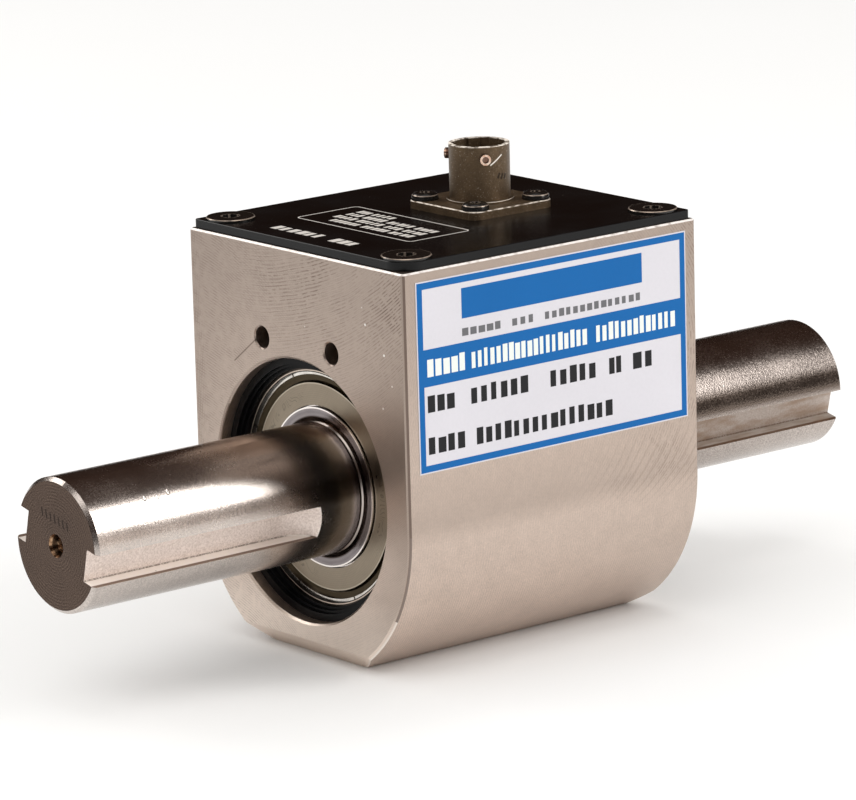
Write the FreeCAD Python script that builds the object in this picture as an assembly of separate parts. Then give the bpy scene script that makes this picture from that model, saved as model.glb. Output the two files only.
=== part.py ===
import FreeCAD, Part
import math
import os

# Rotary torque sensor: a keyed shaft in two shielded ball bearings, a strain-gauged torsion section
# between them, slip rings with brushes above, and a bayonet connector on the cover plate.
# Millimetres. +X runs along the shaft from the active end to the drive end, +Z is up, and the
# origin is the middle of the flat foot that the housing stands on.

V = FreeCAD.Vector
ACTIVE = -1
DRIVE = 1
FULL_TURN = 360.0

# Housing block
HOUSING_LENGTH = 72.0
HOUSING_WIDTH = 64.3
AXIS_HEIGHT = 32.2
TOP_ABOVE_AXIS = 46.25
FOOT_WIDTH = 28.2
FOOT_CHAMFER = 3.5
TOP_BREAK = 0.35
CORNER_BREAK = 0.6
MOUTH_CHAMFER = 0.4
SEAT_SHOULDER = 2.4

# Two tapped holes in the face at the active end
FACE_HOLE_DIAMETER = 4.2
FACE_HOLE_SPACING = 20.8
FACE_HOLE_ABOVE_BORE = 2.75
FACE_HOLE_DEPTH = 10.0
FACE_HOLE_CHAMFER = 0.25
DRILL_POINT_ANGLE = 118.0

# Pocket under the cover plate
POCKET_END_WALL = 14.0
POCKET_SIDE_GAP = 1.0
POCKET_CORNER = 4.0
POCKET_DEPTH = 15.25

# Cover plate and its flat-head screws
COVER_INSET = 0.8
COVER_THICKNESS = 1.7
COVER_CORNER = 0.7
COVER_NEAR_CORNER = 4.5
COVER_EDGE_BREAK = 0.1
COVER_SCREW_DIAMETER = 4.8
COVER_SCREW_HEAD = 9.4
COVER_SCREW_HEAD_ANGLE = 100.0
COVER_SCREW_LENGTH = 11.0
COVER_SCREW_POINT = 0.8
COVER_SCREW_PROUD = 0.5
COVER_SCREW_RIM_BREAK = 0.15
COVER_SCREW_SOCKET = 3.2
COVER_SCREW_SOCKET_DEPTH = 1.5
COVER_SCREW_INSET = 5.75

# Bayonet connector on the cover plate
CONNECTOR_X = 9.7
CONNECTOR_Y = 0.0
FLANGE_WIDTH = 20.4
FLANGE_THICKNESS = 1.6
FLANGE_CORNER = 2.4
FLANGE_EDGE_BREAK = 0.2
FLANGE_HOLE_SPACING = 15.0
BARREL_DIAMETER = 11.7
BARREL_WALL = 0.8
BARREL_HEIGHT = 11.0
BARREL_FOOT_STEP = 0.6
BARREL_FOOT_HEIGHT = 0.5
REAR_SHELL_STEP = 0.2
REAR_SHELL_LENGTH = 5.0
KEYWAY_GROOVE_DEPTH = 0.4
KEYWAY_GROOVE_BELOW_RIM = 8.0
MAIN_GROOVE_WIDTH = 1.8
SIDE_GROOVE_WIDTH = 0.9
MAIN_GROOVE_ANGLE = 38.0
SIDE_GROOVE_OFFSETS = (40.0, 105.0, 180.0, 245.0)
BAYONET_PIN_DIAMETER = 2.1
BAYONET_PIN_PROUD = 0.95
BAYONET_PIN_BELOW_RIM = 2.35
BAYONET_DIMPLE_DIAMETER = 1.3
BAYONET_DIMPLE_DEPTH = 0.45
BAYONET_PIN_COUNT = 3
BAYONET_PIN_ANGLE = 0.5
INSERT_BELOW_RIM = 9.3
CONTACT_CIRCLE = 4.4
CONTACT_COUNT = 4
CONTACT_TURN = 45.0
CONTACT_PIN_DIAMETER = 1.0
CONTACT_PIN_LENGTH = 4.8
SOLDER_CUP_DIAMETER = 1.6
SOLDER_CUP_LENGTH = 2.0
CONNECTOR_SCREW_DIAMETER = 2.8
CONNECTOR_SCREW_HEAD = 5.25
CONNECTOR_SCREW_HEAD_HEIGHT = 1.35
CONNECTOR_SCREW_HEAD_ROUND = 1.0
CONNECTOR_SCREW_SOCKET = 1.6
CONNECTOR_SCREW_SOCKET_DEPTH = 0.9
CONNECTOR_SCREW_PAST_COVER = 2.0

# Label stuck on the side at -Y
LABEL_END_MARGIN = 2.9
LABEL_TOP_MARGIN = 1.95
LABEL_HEIGHT = 36.1
LABEL_THICKNESS = 0.1

# Shaft
SHAFT_LENGTH = 185.2
SHAFT_DIAMETER = 25.4
SHAFT_END_CHAMFER = 0.7
SHAFT_TURN = 13.0
CENTRE_MOUTH_DIAMETER = 4.4
CENTRE_PILOT_DIAMETER = 2.0
CENTRE_CONE_ANGLE = 60.0
CENTRE_PILOT_DEPTH = 5.0
RELIEF_WIDTH = 0.9
RELIEF_DEPTH = 0.25
SHOULDER_WIDTH = 2.8
SHOULDER_HEIGHT = 1.8
TORSION_DIAMETER = 15.5
TORSION_FILLET = 1.0
COLLAR_WIDTH = 2.0
SLEEVE_SEAT_HEIGHT = 0.5

# Two keyways opposite each other at each end, cut with a side cutter that runs out in an arc
KEYWAY_WIDTH = 6.35
KEYWAY_DEPTH = 3.58
KEYWAY_LENGTH = 51.7
KEYWAY_CUTTER_DIAMETER = 19.05
KEYWAY_TURNS = (90.0, 270.0)

# Shielded ball bearings
BEARING_OUTER_DIAMETER = 50.8
BEARING_WIDTH = 12.7
BEARING_RECESS = 5.0
BALL_DIAMETER = 7.5
BALL_COUNT = 9
BALL_CLEARANCE = 0.04
BEARING_EDGE_CHAMFER = 0.6
INNER_BORE_CHAMFER = 0.8
INNER_SHOULDER_BELOW_PITCH = 2.45
INNER_FACE_NARROWER = 1.25
INNER_FACE_STEP = 1.25
OUTER_LAND_ABOVE_PITCH = 1.95
SHIELD_SEAT_LEDGE = 1.1
SHIELD_SEAT_DEPTH = 1.5
SHIELD_THICKNESS = 0.4
SHIELD_RIM_WIDTH = 2.15
SHIELD_SLOPE_WIDTH = 0.4
SHIELD_FACE_DEPTH = 0.5
SHIELD_GAP = 0.3
SNAP_WIRE_WIDTH = 0.55
SNAP_WIRE_THICKNESS = 0.55
SNAP_WIRE_NOTCHES = 8
SNAP_WIRE_NOTCH_WIDTH = 0.45
SNAP_WIRE_NOTCH_DEPTH = 0.25
CAGE_INNER_GAP = 1.15
CAGE_OUTER_GAP = 0.65
CAGE_SHIELD_GAP = 0.2
CAGE_FRONT = 1.15
CAGE_POCKET_CLEARANCE = 0.1

# Stepped retaining ring in a groove in front of each bearing
RETAINER_THICKNESS = 2.3
RETAINER_BITE = 0.9
RETAINER_RADIAL_WIDTH = 2.0
RETAINER_STEPS = 3
RETAINER_STEP_HEIGHT = 0.55

# Wave spring that loads the bearing at the drive end
WAVE_SPRING_SPACE = 1.6
WAVE_SPRING_THICKNESS = 0.4
WAVE_SPRING_SIDE_GAP = 0.2
WAVE_SPRING_WAVES = 3
WAVE_SPRING_POINTS = 48

# Slip rings on an insulating sleeve
SLEEVE_WALL = 3.0
SLEEVE_TAIL = 3.7
SLEEVE_END_RELIEF = 0.8
RING_COUNT = 5
RING_PITCH = 2.6
RING_WIDTH = 1.6
RING_SEAT_DEPTH = 0.7
RING_PROUD = 0.3
RING_LAND = 1.1

# Strain gauges on the torsion section
GAUGE_LENGTH = 4.0
GAUGE_SPAN_ANGLE = 50.0
GAUGE_THICKNESS = 0.12
GAUGE_COUNT = 4

# Brush block, brushes, leaf springs and terminal board
BRUSH_WIDTH = 1.4
BRUSH_DEPTH = 4.0
BRUSH_GAP = 0.03
BRUSH_PROUD = 0.6
BLOCK_WALL = 1.3
BLOCK_ABOVE_RINGS = 2.0
BLOCK_GUIDE_WIDTH = 14.0
BLOCK_FLANGE_WIDTH = 38.0
BLOCK_FLANGE_THICKNESS = 3.0
BLOCK_SCREW_MARGIN = 3.6
BLOCK_SCREW_INSET = 2.6
BLOCK_SCREW_DIAMETER = 2.5
BLOCK_SCREW_HEAD = 4.4
BLOCK_SCREW_HEAD_HEIGHT = 1.6
BLOCK_SCREW_GRIP = 3.5
LEAF_THICKNESS = 0.3
LEAF_WIDTH = 1.6
BOARD_THICKNESS = 1.6
BOARD_WIDTH = 9.4
BOARD_EDGE_GAP = 0.4
PAD_FROM_BOARD_EDGE = 2.0
LEAD_DIAMETER = 0.9
LEAD_BEND_RADIUS = 1.0
LEAD_LOW_RUN = 1.3
LEAD_HIGH_RUN = 2.5

# Clearances between pieces that are fastened to each other
ASSEMBLY_GAP = 0.05
PIN_HOLE_GAP = 0.1

# Cutters run past the faces that they open; an edge this near a place counts as there
PAST = 1.0
SAME_PLACE = 0.01

# Places that follow from the sizes above
HALF_LENGTH = HOUSING_LENGTH / 2
HALF_WIDTH = HOUSING_WIDTH / 2
BELLY_CENTRE_Z = math.sqrt(HALF_WIDTH**2 - (FOOT_WIDTH / 2) ** 2)
HOUSING_TOP = AXIS_HEIGHT + TOP_ABOVE_AXIS
COVER_TOP = HOUSING_TOP + COVER_THICKNESS
FLANGE_TOP = COVER_TOP + FLANGE_THICKNESS
RIM_Z = FLANGE_TOP + BARREL_HEIGHT
REAR_SHELL_END = COVER_TOP - REAR_SHELL_LENGTH
INSERT_TOP = RIM_Z - INSERT_BELOW_RIM
POCKET_FLOOR = HOUSING_TOP - POCKET_DEPTH
BARREL_RADIUS = BARREL_DIAMETER / 2
BARREL_BORE = BARREL_RADIUS - BARREL_WALL
REAR_SHELL_RADIUS = BARREL_RADIUS - REAR_SHELL_STEP
SHAFT_RADIUS = SHAFT_DIAMETER / 2
SHOULDER_RADIUS = SHAFT_RADIUS + SHOULDER_HEIGHT
TORSION_RADIUS = TORSION_DIAMETER / 2
BEARING_RADIUS = BEARING_OUTER_DIAMETER / 2
PITCH_RADIUS = (SHAFT_RADIUS + BEARING_RADIUS) / 2
BALL_RADIUS = BALL_DIAMETER / 2
INNER_SHOULDER_RADIUS = PITCH_RADIUS - INNER_SHOULDER_BELOW_PITCH
INNER_FACE_RADIUS = INNER_SHOULDER_RADIUS - INNER_FACE_NARROWER
OUTER_LAND_RADIUS = PITCH_RADIUS + OUTER_LAND_ABOVE_PITCH
SHIELD_SEAT_RADIUS = OUTER_LAND_RADIUS + SHIELD_SEAT_LEDGE
SHIELD_RAISED_RADIUS = SHIELD_SEAT_RADIUS - SHIELD_RIM_WIDTH
CENTRAL_BORE_RADIUS = BEARING_RADIUS - SEAT_SHOULDER
BEARING_BACK = HALF_LENGTH - BEARING_RECESS - BEARING_WIDTH
RETAINER_RADIUS = BEARING_RADIUS + RETAINER_BITE
SLEEVE_START = BEARING_BACK - SLEEVE_TAIL - RING_COUNT * RING_PITCH - RING_LAND
COLLAR_START = SLEEVE_START - COLLAR_WIDTH
TORSION_START = SHOULDER_WIDTH - BEARING_BACK
SLEEVE_SEAT_RADIUS = SHAFT_RADIUS + SLEEVE_SEAT_HEIGHT
SLEEVE_RADIUS = SLEEVE_SEAT_RADIUS + SLEEVE_WALL
RING_SEAT_RADIUS = SLEEVE_RADIUS - RING_SEAT_DEPTH
RING_RADIUS = SLEEVE_RADIUS + RING_PROUD
RING_CENTRES = [SLEEVE_START + RING_LAND + RING_PITCH * (i + 0.5) for i in range(RING_COUNT)]
GUIDE_START = RING_CENTRES[0] - BRUSH_WIDTH / 2 - BLOCK_WALL
GUIDE_END = RING_CENTRES[-1] + BRUSH_WIDTH / 2 + BLOCK_WALL
BLOCK_TOP = POCKET_FLOOR + BLOCK_FLANGE_THICKNESS
BOARD_TOP = BLOCK_TOP + LEAF_THICKNESS + BOARD_THICKNESS
BOARD_OUTER_Y = BLOCK_FLANGE_WIDTH / 2 - BOARD_EDGE_GAP
BOARD_INNER_Y = BOARD_OUTER_Y - BOARD_WIDTH
BLOCK_SCREW_Y = BLOCK_FLANGE_WIDTH / 2 - BLOCK_SCREW_INSET


def on_axis(x, r=0.0):
    """Point at a place along the shaft and a height above its axis."""
    return V(x, 0, AXIS_HEIGHT + r)


def face_of(corners):
    """Flat face inside a closed run of corners."""
    return Part.Face(Part.makePolygon(corners + [corners[0]]))


def outward(shape):
    """The same solid with its faces turned outwards."""
    return shape if shape.Volume > 0 else shape.reversed()


def turned(corners, angle=FULL_TURN):
    """Solid turned about the shaft axis from (x, radius) corners."""
    face = face_of([on_axis(x, r) for x, r in corners])
    return outward(face.revolve(on_axis(0), V(1, 0, 0), angle))


def turned_upright(corners, x, y):
    """Solid turned about a vertical axis from (radius, z) corners."""
    face = face_of([V(x + r, y, z) for r, z in corners])
    return outward(face.revolve(V(x, y, 0), V(0, 0, 1), FULL_TURN))


def bar(x0, x1, r):
    """Cylinder about the shaft axis."""
    return Part.makeCylinder(r, x1 - x0, on_axis(x0), V(1, 0, 0))


def post(x, y, z0, z1, r):
    """Upright cylinder."""
    return Part.makeCylinder(r, z1 - z0, V(x, y, z0), V(0, 0, 1))


def box(x0, x1, y0, y1, z0, z1):
    """Box between two corners."""
    return Part.makeBox(x1 - x0, y1 - y0, z1 - z0, V(x0, y0, z0))


def edges_at_height(shape, z):
    """Edges whose middles lie at a height."""
    return [e for e in shape.Edges if abs(e.CenterOfMass.z - z) < SAME_PLACE]


def edge_at_corner(shape, x, y):
    """Upright edge of a block at one of its corners."""
    centres = [(e, e.CenterOfMass) for e in shape.Edges]
    return [e for e, c in centres if abs(c.x - x) + abs(c.y - y) < SAME_PLACE]


def corners_of(half_x, half_y):
    """The four corners of a rectangle about the origin."""
    return [(sx * half_x, sy * half_y) for sx in (-1, 1) for sy in (-1, 1)]


def plate(x0, x1, y0, y1, z0, z1, corner):
    """Upright slab with rounded corners."""
    slab = box(x0, x1, y0, y1, z0, z1)
    return slab.makeFillet(corner, edges_at_height(slab, (z0 + z1) / 2))


def hexagon_socket(x, y, top, across_flats, depth):
    """Hexagonal prism that cuts a screw's socket."""
    r = across_flats / math.sqrt(3)
    turns = [math.radians(60 * i) for i in range(6)]
    corners = [V(x + r * math.cos(a), y + r * math.sin(a), top - depth) for a in turns]
    return face_of(corners).extrude(V(0, 0, 2 * depth))


def spun(shape, angle):
    """Copy turned about the shaft axis."""
    copy = shape.copy()
    copy.rotate(on_axis(0), V(1, 0, 0), angle)
    return copy


def write(name, shape):
    """Save a piece, or a group of like pieces, as one file."""
    whole = Part.makeCompound(shape) if isinstance(shape, list) else shape
    whole.exportStep("parts/" + name + ".step")


def bearing_x(side, depth):
    """Place along the shaft at a depth below a bearing's outboard face."""
    return side * (HALF_LENGTH - BEARING_RECESS - depth)


def bearing_turned(side, corners):
    """Bearing piece turned from (depth, radius) corners."""
    return turned([(bearing_x(side, d), r) for d, r in corners])


# Housing


def housing_outline():
    """End view of the block: flat top and sides, round belly, flat foot."""
    foot = FOOT_WIDTH / 2
    low_turn = math.atan2(-BELLY_CENTRE_Z, foot)
    mid_y = HALF_WIDTH * math.cos(low_turn / 2)
    mid_z = BELLY_CENTRE_Z + HALF_WIDTH * math.sin(low_turn / 2)
    x = -HALF_LENGTH
    top_left = V(x, -HALF_WIDTH, HOUSING_TOP)
    top_right = V(x, HALF_WIDTH, HOUSING_TOP)
    side_right = V(x, HALF_WIDTH, BELLY_CENTRE_Z)
    side_left = V(x, -HALF_WIDTH, BELLY_CENTRE_Z)
    foot_right = V(x, foot, 0)
    foot_left = V(x, -foot, 0)
    edges = [
        Part.LineSegment(top_left, top_right).toShape(),
        Part.LineSegment(top_right, side_right).toShape(),
        Part.Arc(side_right, V(x, mid_y, mid_z), foot_right).toShape(),
        Part.LineSegment(foot_right, foot_left).toShape(),
        Part.Arc(foot_left, V(x, -mid_y, mid_z), side_left).toShape(),
        Part.LineSegment(side_left, top_left).toShape(),
    ]
    return Part.Face(Part.Wire(edges))


def foot_chamfer(side):
    """Wedge that takes the bottom corner off one end."""
    x = side * HALF_LENGTH
    corners = [
        V(x, -HALF_WIDTH, 0),
        V(x - side * FOOT_CHAMFER, -HALF_WIDTH, 0),
        V(x, -HALF_WIDTH, FOOT_CHAMFER),
    ]
    return face_of(corners).extrude(V(0, HOUSING_WIDTH, 0))


def bearing_seat(side, extra):
    """Seat for one bearing, with the retaining ring's groove and a broken mouth."""
    outer = side * (HALF_LENGTH + PAST)
    face = side * HALF_LENGTH
    back = bearing_x(side, BEARING_WIDTH) - side * extra
    ring_back = bearing_x(side, 0)
    ring_front = bearing_x(side, -RETAINER_THICKNESS) + side * ASSEMBLY_GAP
    groove = RETAINER_RADIUS + ASSEMBLY_GAP
    corners = [
        (outer, 0),
        (outer, BEARING_RADIUS + MOUTH_CHAMFER + PAST),
        (face - side * MOUTH_CHAMFER, BEARING_RADIUS),
        (ring_front, BEARING_RADIUS),
        (ring_front, groove),
        (ring_back, groove),
        (ring_back, BEARING_RADIUS),
        (back, BEARING_RADIUS),
        (back, 0),
    ]
    return turned(corners)


def face_hole(y):
    """Blind tapped hole in the active end, with its drill point."""
    r = FACE_HOLE_DIAMETER / 2
    point = r / math.tan(math.radians(DRILL_POINT_ANGLE / 2))
    x = -HALF_LENGTH
    z = AXIS_HEIGHT + BEARING_RADIUS + FACE_HOLE_ABOVE_BORE
    corners = [
        V(x - PAST, y, z),
        V(x - PAST, y, z + r + FACE_HOLE_CHAMFER + PAST),
        V(x + FACE_HOLE_CHAMFER, y, z + r),
        V(x + FACE_HOLE_DEPTH, y, z + r),
        V(x + FACE_HOLE_DEPTH + point, y, z),
    ]
    return outward(face_of(corners).revolve(V(x, y, z), V(1, 0, 0), FULL_TURN))


def pocket():
    """Pocket under the cover and the throat from it down to the slip rings."""
    half = HALF_LENGTH - POCKET_END_WALL
    wide = BLOCK_FLANGE_WIDTH / 2 + POCKET_SIDE_GAP
    upper = plate(-half, half, -wide, wide, POCKET_FLOOR, HOUSING_TOP + PAST, POCKET_CORNER)
    x0 = GUIDE_START - ASSEMBLY_GAP
    x1 = GUIDE_END + ASSEMBLY_GAP
    y = BLOCK_GUIDE_WIDTH / 2 + ASSEMBLY_GAP
    throat = box(x0, x1, -y, y, AXIS_HEIGHT, POCKET_FLOOR + PAST)
    return upper.fuse(throat)


def housing():
    """The block that carries everything."""
    block = housing_outline().extrude(V(HOUSING_LENGTH, 0, 0))
    block = block.cut([foot_chamfer(ACTIVE), foot_chamfer(DRIVE)])
    for x, y in corners_of(HALF_LENGTH, HALF_WIDTH):
        block = block.makeChamfer(CORNER_BREAK, edge_at_corner(block, x, y))
    block = block.makeChamfer(TOP_BREAK, edges_at_height(block, HOUSING_TOP))
    cuts = [bar(-HALF_LENGTH, HALF_LENGTH, CENTRAL_BORE_RADIUS)]
    cuts.append(bearing_seat(ACTIVE, 0))
    cuts.append(bearing_seat(DRIVE, WAVE_SPRING_SPACE))
    cuts.append(pocket())
    cuts += [face_hole(s * FACE_HOLE_SPACING / 2) for s in (-1, 1)]
    cuts += [flat_head_screw(x, y, ASSEMBLY_GAP) for x, y in cover_screw_places()]
    cuts += [block_screw(x, y, z, ASSEMBLY_GAP) for x, y, z in block_screw_places()]
    return block.cut(cuts)


# Cover plate and screws


def cover_screw_places():
    """Centres of the four cover screws."""
    return corners_of(HALF_LENGTH - COVER_SCREW_INSET, HALF_WIDTH - COVER_SCREW_INSET)


def flat_head_screw(x, y, grow=0.0):
    """Flat-head screw; grown a little, it cuts its own hole and countersink."""
    head = COVER_SCREW_HEAD / 2 + grow
    stem = COVER_SCREW_DIAMETER / 2 + grow
    cone = (head - stem) / math.tan(math.radians(COVER_SCREW_HEAD_ANGLE / 2))
    top = COVER_TOP + COVER_SCREW_PROUD
    rim = COVER_SCREW_RIM_BREAK
    end = COVER_TOP - COVER_SCREW_LENGTH - grow
    point = COVER_SCREW_POINT
    corners = [(0, top), (head - rim, top), (head, top - rim), (head, COVER_TOP)]
    corners.append((stem, COVER_TOP - cone))
    corners += [(stem, end + point), (stem - point, end), (0, end)]
    return turned_upright(corners, x, y)


def cover_screws():
    """The four screws with their sockets."""
    screws = []
    top = COVER_TOP + COVER_SCREW_PROUD
    for x, y in cover_screw_places():
        socket = hexagon_socket(x, y, top, COVER_SCREW_SOCKET, COVER_SCREW_SOCKET_DEPTH)
        screws.append(flat_head_screw(x, y).cut(socket))
    return screws


def top_cover():
    """Plate over the pocket, countersunk for its screws and bored for the connector."""
    half_x = HALF_LENGTH - COVER_INSET
    half_y = HALF_WIDTH - COVER_INSET
    cover = box(-half_x, half_x, -half_y, half_y, HOUSING_TOP, COVER_TOP)
    for x, y in corners_of(half_x, half_y):
        r = COVER_NEAR_CORNER if x < 0 and y < 0 else COVER_CORNER
        cover = cover.makeFillet(r, edge_at_corner(cover, x, y))
    cover = cover.makeChamfer(COVER_EDGE_BREAK, edges_at_height(cover, COVER_TOP))
    cuts = [flat_head_screw(sx, sy, ASSEMBLY_GAP) for sx, sy in cover_screw_places()]
    rear = REAR_SHELL_RADIUS + ASSEMBLY_GAP
    cuts.append(post(CONNECTOR_X, CONNECTOR_Y, HOUSING_TOP - PAST, COVER_TOP + PAST, rear))
    stem = CONNECTOR_SCREW_DIAMETER / 2 + ASSEMBLY_GAP
    for sx, sy in connector_screw_places():
        cuts.append(post(sx, sy, HOUSING_TOP - PAST, COVER_TOP + PAST, stem))
    return cover.cut(cuts)


# Connector


def connector_screw_places():
    """Centres of the four screws through the connector's flange."""
    half = FLANGE_HOLE_SPACING / 2
    return [(CONNECTOR_X + x, CONNECTOR_Y + y) for x, y in corners_of(half, half)]


def barrel_groove(angle, width):
    """Groove down the inside of the barrel for one key of the plug."""
    depth = BARREL_BORE + KEYWAY_GROOVE_DEPTH
    low = RIM_Z - KEYWAY_GROOVE_BELOW_RIM
    slot = box(BARREL_BORE / 2, depth, -width / 2, width / 2, low, RIM_Z + PAST)
    slot.rotate(V(0, 0, 0), V(0, 0, 1), angle)
    slot.translate(V(CONNECTOR_X, CONNECTOR_Y, 0))
    return slot


def bayonet_pin_places():
    """Outward directions of the bayonet pins."""
    step = FULL_TURN / BAYONET_PIN_COUNT
    turns = [math.radians(BAYONET_PIN_ANGLE + i * step) for i in range(BAYONET_PIN_COUNT)]
    return [V(math.cos(a), math.sin(a), 0) for a in turns]


def bayonet_pin(direction):
    """Pin pressed through the barrel's wall."""
    centre = V(CONNECTOR_X, CONNECTOR_Y, RIM_Z - BAYONET_PIN_BELOW_RIM)
    root = centre + direction * BARREL_BORE
    return Part.makeCylinder(BAYONET_PIN_DIAMETER / 2, BARREL_WALL + BAYONET_PIN_PROUD, root, direction)


def bayonet_pins():
    """The three pins, each with a dimple in its end."""
    pins = []
    reach = BARREL_RADIUS + BAYONET_PIN_PROUD - BAYONET_DIMPLE_DEPTH
    centre = V(CONNECTOR_X, CONNECTOR_Y, RIM_Z - BAYONET_PIN_BELOW_RIM)
    for direction in bayonet_pin_places():
        floor = centre + direction * reach
        dimple = Part.makeCylinder(BAYONET_DIMPLE_DIAMETER / 2, PAST, floor, direction)
        pins.append(bayonet_pin(direction).cut(dimple))
    return pins


def connector_shell():
    """Square flange, bayonet barrel and rear shell in one piece."""
    half = FLANGE_WIDTH / 2
    x, y = CONNECTOR_X, CONNECTOR_Y
    shell = plate(x - half, x + half, y - half, y + half, COVER_TOP, FLANGE_TOP, FLANGE_CORNER)
    shell = shell.makeChamfer(FLANGE_EDGE_BREAK, edges_at_height(shell, FLANGE_TOP))
    barrel = post(x, y, COVER_TOP, RIM_Z, BARREL_RADIUS)
    foot_top = FLANGE_TOP + BARREL_FOOT_HEIGHT
    foot = post(x, y, COVER_TOP, foot_top, BARREL_RADIUS + BARREL_FOOT_STEP)
    rear = post(x, y, REAR_SHELL_END, COVER_TOP, REAR_SHELL_RADIUS)
    shell = shell.fuse([barrel, foot, rear]).removeSplitter()
    cuts = [post(x, y, REAR_SHELL_END - PAST, RIM_Z + PAST, BARREL_BORE)]
    cuts.append(barrel_groove(MAIN_GROOVE_ANGLE, MAIN_GROOVE_WIDTH))
    cuts += [barrel_groove(MAIN_GROOVE_ANGLE + a, SIDE_GROOVE_WIDTH) for a in SIDE_GROOVE_OFFSETS]
    cuts += [bayonet_pin(direction) for direction in bayonet_pin_places()]
    stem = CONNECTOR_SCREW_DIAMETER / 2 + PIN_HOLE_GAP
    low = COVER_TOP - PAST
    cuts += [post(sx, sy, low, FLANGE_TOP + PAST, stem) for sx, sy in connector_screw_places()]
    return shell.cut(cuts)


def contact_places():
    """Centres of the contacts on their circle."""
    r = CONTACT_CIRCLE / 2
    step = FULL_TURN / CONTACT_COUNT
    turns = [math.radians(CONTACT_TURN + i * step) for i in range(CONTACT_COUNT)]
    return [(CONNECTOR_X + r * math.cos(a), CONNECTOR_Y + r * math.sin(a)) for a in turns]


def connector_contact(x, y):
    """Pin above the insert and solder cup below it, in one piece."""
    pin = CONTACT_PIN_DIAMETER / 2
    cup = SOLDER_CUP_DIAMETER / 2
    tip = INSERT_TOP + CONTACT_PIN_LENGTH
    end = REAR_SHELL_END - SOLDER_CUP_LENGTH
    corners = [(0, end), (cup, end), (cup, REAR_SHELL_END), (pin, REAR_SHELL_END)]
    corners += [(pin, tip - pin), (pin / 2, tip), (0, tip)]
    return turned_upright(corners, x, y)


def connector_insert():
    """Insulating disc that holds the contacts."""
    insert = post(CONNECTOR_X, CONNECTOR_Y, REAR_SHELL_END, INSERT_TOP, BARREL_BORE)
    return insert.cut([connector_contact(x, y) for x, y in contact_places()])


def connector_screws():
    """Button-head screws that hold the flange to the cover."""
    screws = []
    stem = CONNECTOR_SCREW_DIAMETER / 2
    end = HOUSING_TOP - CONNECTOR_SCREW_PAST_COVER
    top = FLANGE_TOP + CONNECTOR_SCREW_HEAD_HEIGHT
    for x, y in connector_screw_places():
        head = post(x, y, FLANGE_TOP, top, CONNECTOR_SCREW_HEAD / 2)
        head = head.makeFillet(CONNECTOR_SCREW_HEAD_ROUND, edges_at_height(head, top))
        socket = hexagon_socket(x, y, top, CONNECTOR_SCREW_SOCKET, CONNECTOR_SCREW_SOCKET_DEPTH)
        screws.append(head.fuse(post(x, y, end, FLANGE_TOP, stem)).cut(socket))
    return screws


def side_label():
    """Thin sheet on the flat side."""
    x = HALF_LENGTH - LABEL_END_MARGIN
    top = HOUSING_TOP - LABEL_TOP_MARGIN
    return box(-x, x, -HALF_WIDTH - LABEL_THICKNESS, -HALF_WIDTH, top - LABEL_HEIGHT, top)


# Shaft


def shaft_blank():
    """The shaft as turned, before its keyways are cut."""
    end = SHAFT_LENGTH / 2
    r = SHAFT_RADIUS
    back = BEARING_BACK
    front = bearing_x(DRIVE, 0)
    edge = r - SHAFT_END_CHAMFER
    corners = [(-end, 0), (-end, edge), (-end + SHAFT_END_CHAMFER, r)]
    corners += relief(-front - RELIEF_WIDTH, r)
    corners += [(-back, r), (-back, SHOULDER_RADIUS), (TORSION_START, SHOULDER_RADIUS)]
    corners += [(TORSION_START, TORSION_RADIUS), (COLLAR_START, TORSION_RADIUS)]
    corners += [(COLLAR_START, SHOULDER_RADIUS), (SLEEVE_START, SHOULDER_RADIUS)]
    corners += [(SLEEVE_START, SLEEVE_SEAT_RADIUS), (back, SLEEVE_SEAT_RADIUS), (back, r)]
    corners += relief(front, r)
    corners += [(end - SHAFT_END_CHAMFER, r), (end, edge), (end, 0)]
    return turned(corners)


def relief(x, r):
    """Shallow grinding relief beside a bearing seat."""
    low = r - RELIEF_DEPTH
    end = x + RELIEF_WIDTH
    return [(x, r), (x + RELIEF_DEPTH, low), (end - RELIEF_DEPTH, low), (end, r)]


def torsion_fillets(blank):
    """Round the two inside corners of the thin section."""
    inside = []
    for edge in blank.Edges:
        middle = edge.CenterOfMass
        at_end = min(abs(middle.x - TORSION_START), abs(middle.x - COLLAR_START)) < SAME_PLACE
        if at_end and abs(edge.BoundBox.ZMax - AXIS_HEIGHT - TORSION_RADIUS) < SAME_PLACE:
            inside.append(edge)
    return blank.makeFillet(TORSION_FILLET, inside)


def centre_hole(side):
    """Centre-drilled hole in one end."""
    end = side * SHAFT_LENGTH / 2
    mouth = CENTRE_MOUTH_DIAMETER / 2
    pilot = CENTRE_PILOT_DIAMETER / 2
    cone = (mouth - pilot) / math.tan(math.radians(CENTRE_CONE_ANGLE / 2))
    deep = end - side * CENTRE_PILOT_DEPTH
    corners = [(end, 0), (end, mouth), (end - side * cone, pilot)]
    corners += [(deep, pilot), (deep - side * pilot / 2, 0)]
    return turned(corners)


def keyway(side, angle):
    """Keyway from the end of the shaft, with the cutter's arc at its inner end."""
    end = side * SHAFT_LENGTH / 2
    floor = SHAFT_RADIUS - KEYWAY_DEPTH
    cutter = KEYWAY_CUTTER_DIAMETER / 2
    run_out = math.sqrt(cutter**2 - (cutter - KEYWAY_DEPTH) ** 2)
    centre = end - side * (KEYWAY_LENGTH - run_out)
    half = KEYWAY_WIDTH / 2
    x0, x1 = sorted((end + side * PAST, centre))
    low = AXIS_HEIGHT + floor
    flat = box(x0, x1, -half, half, low, low + cutter)
    wheel = Part.makeCylinder(cutter, KEYWAY_WIDTH, V(centre, -half, low + cutter), V(0, 1, 0))
    return spun(flat.fuse(wheel), angle)


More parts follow.
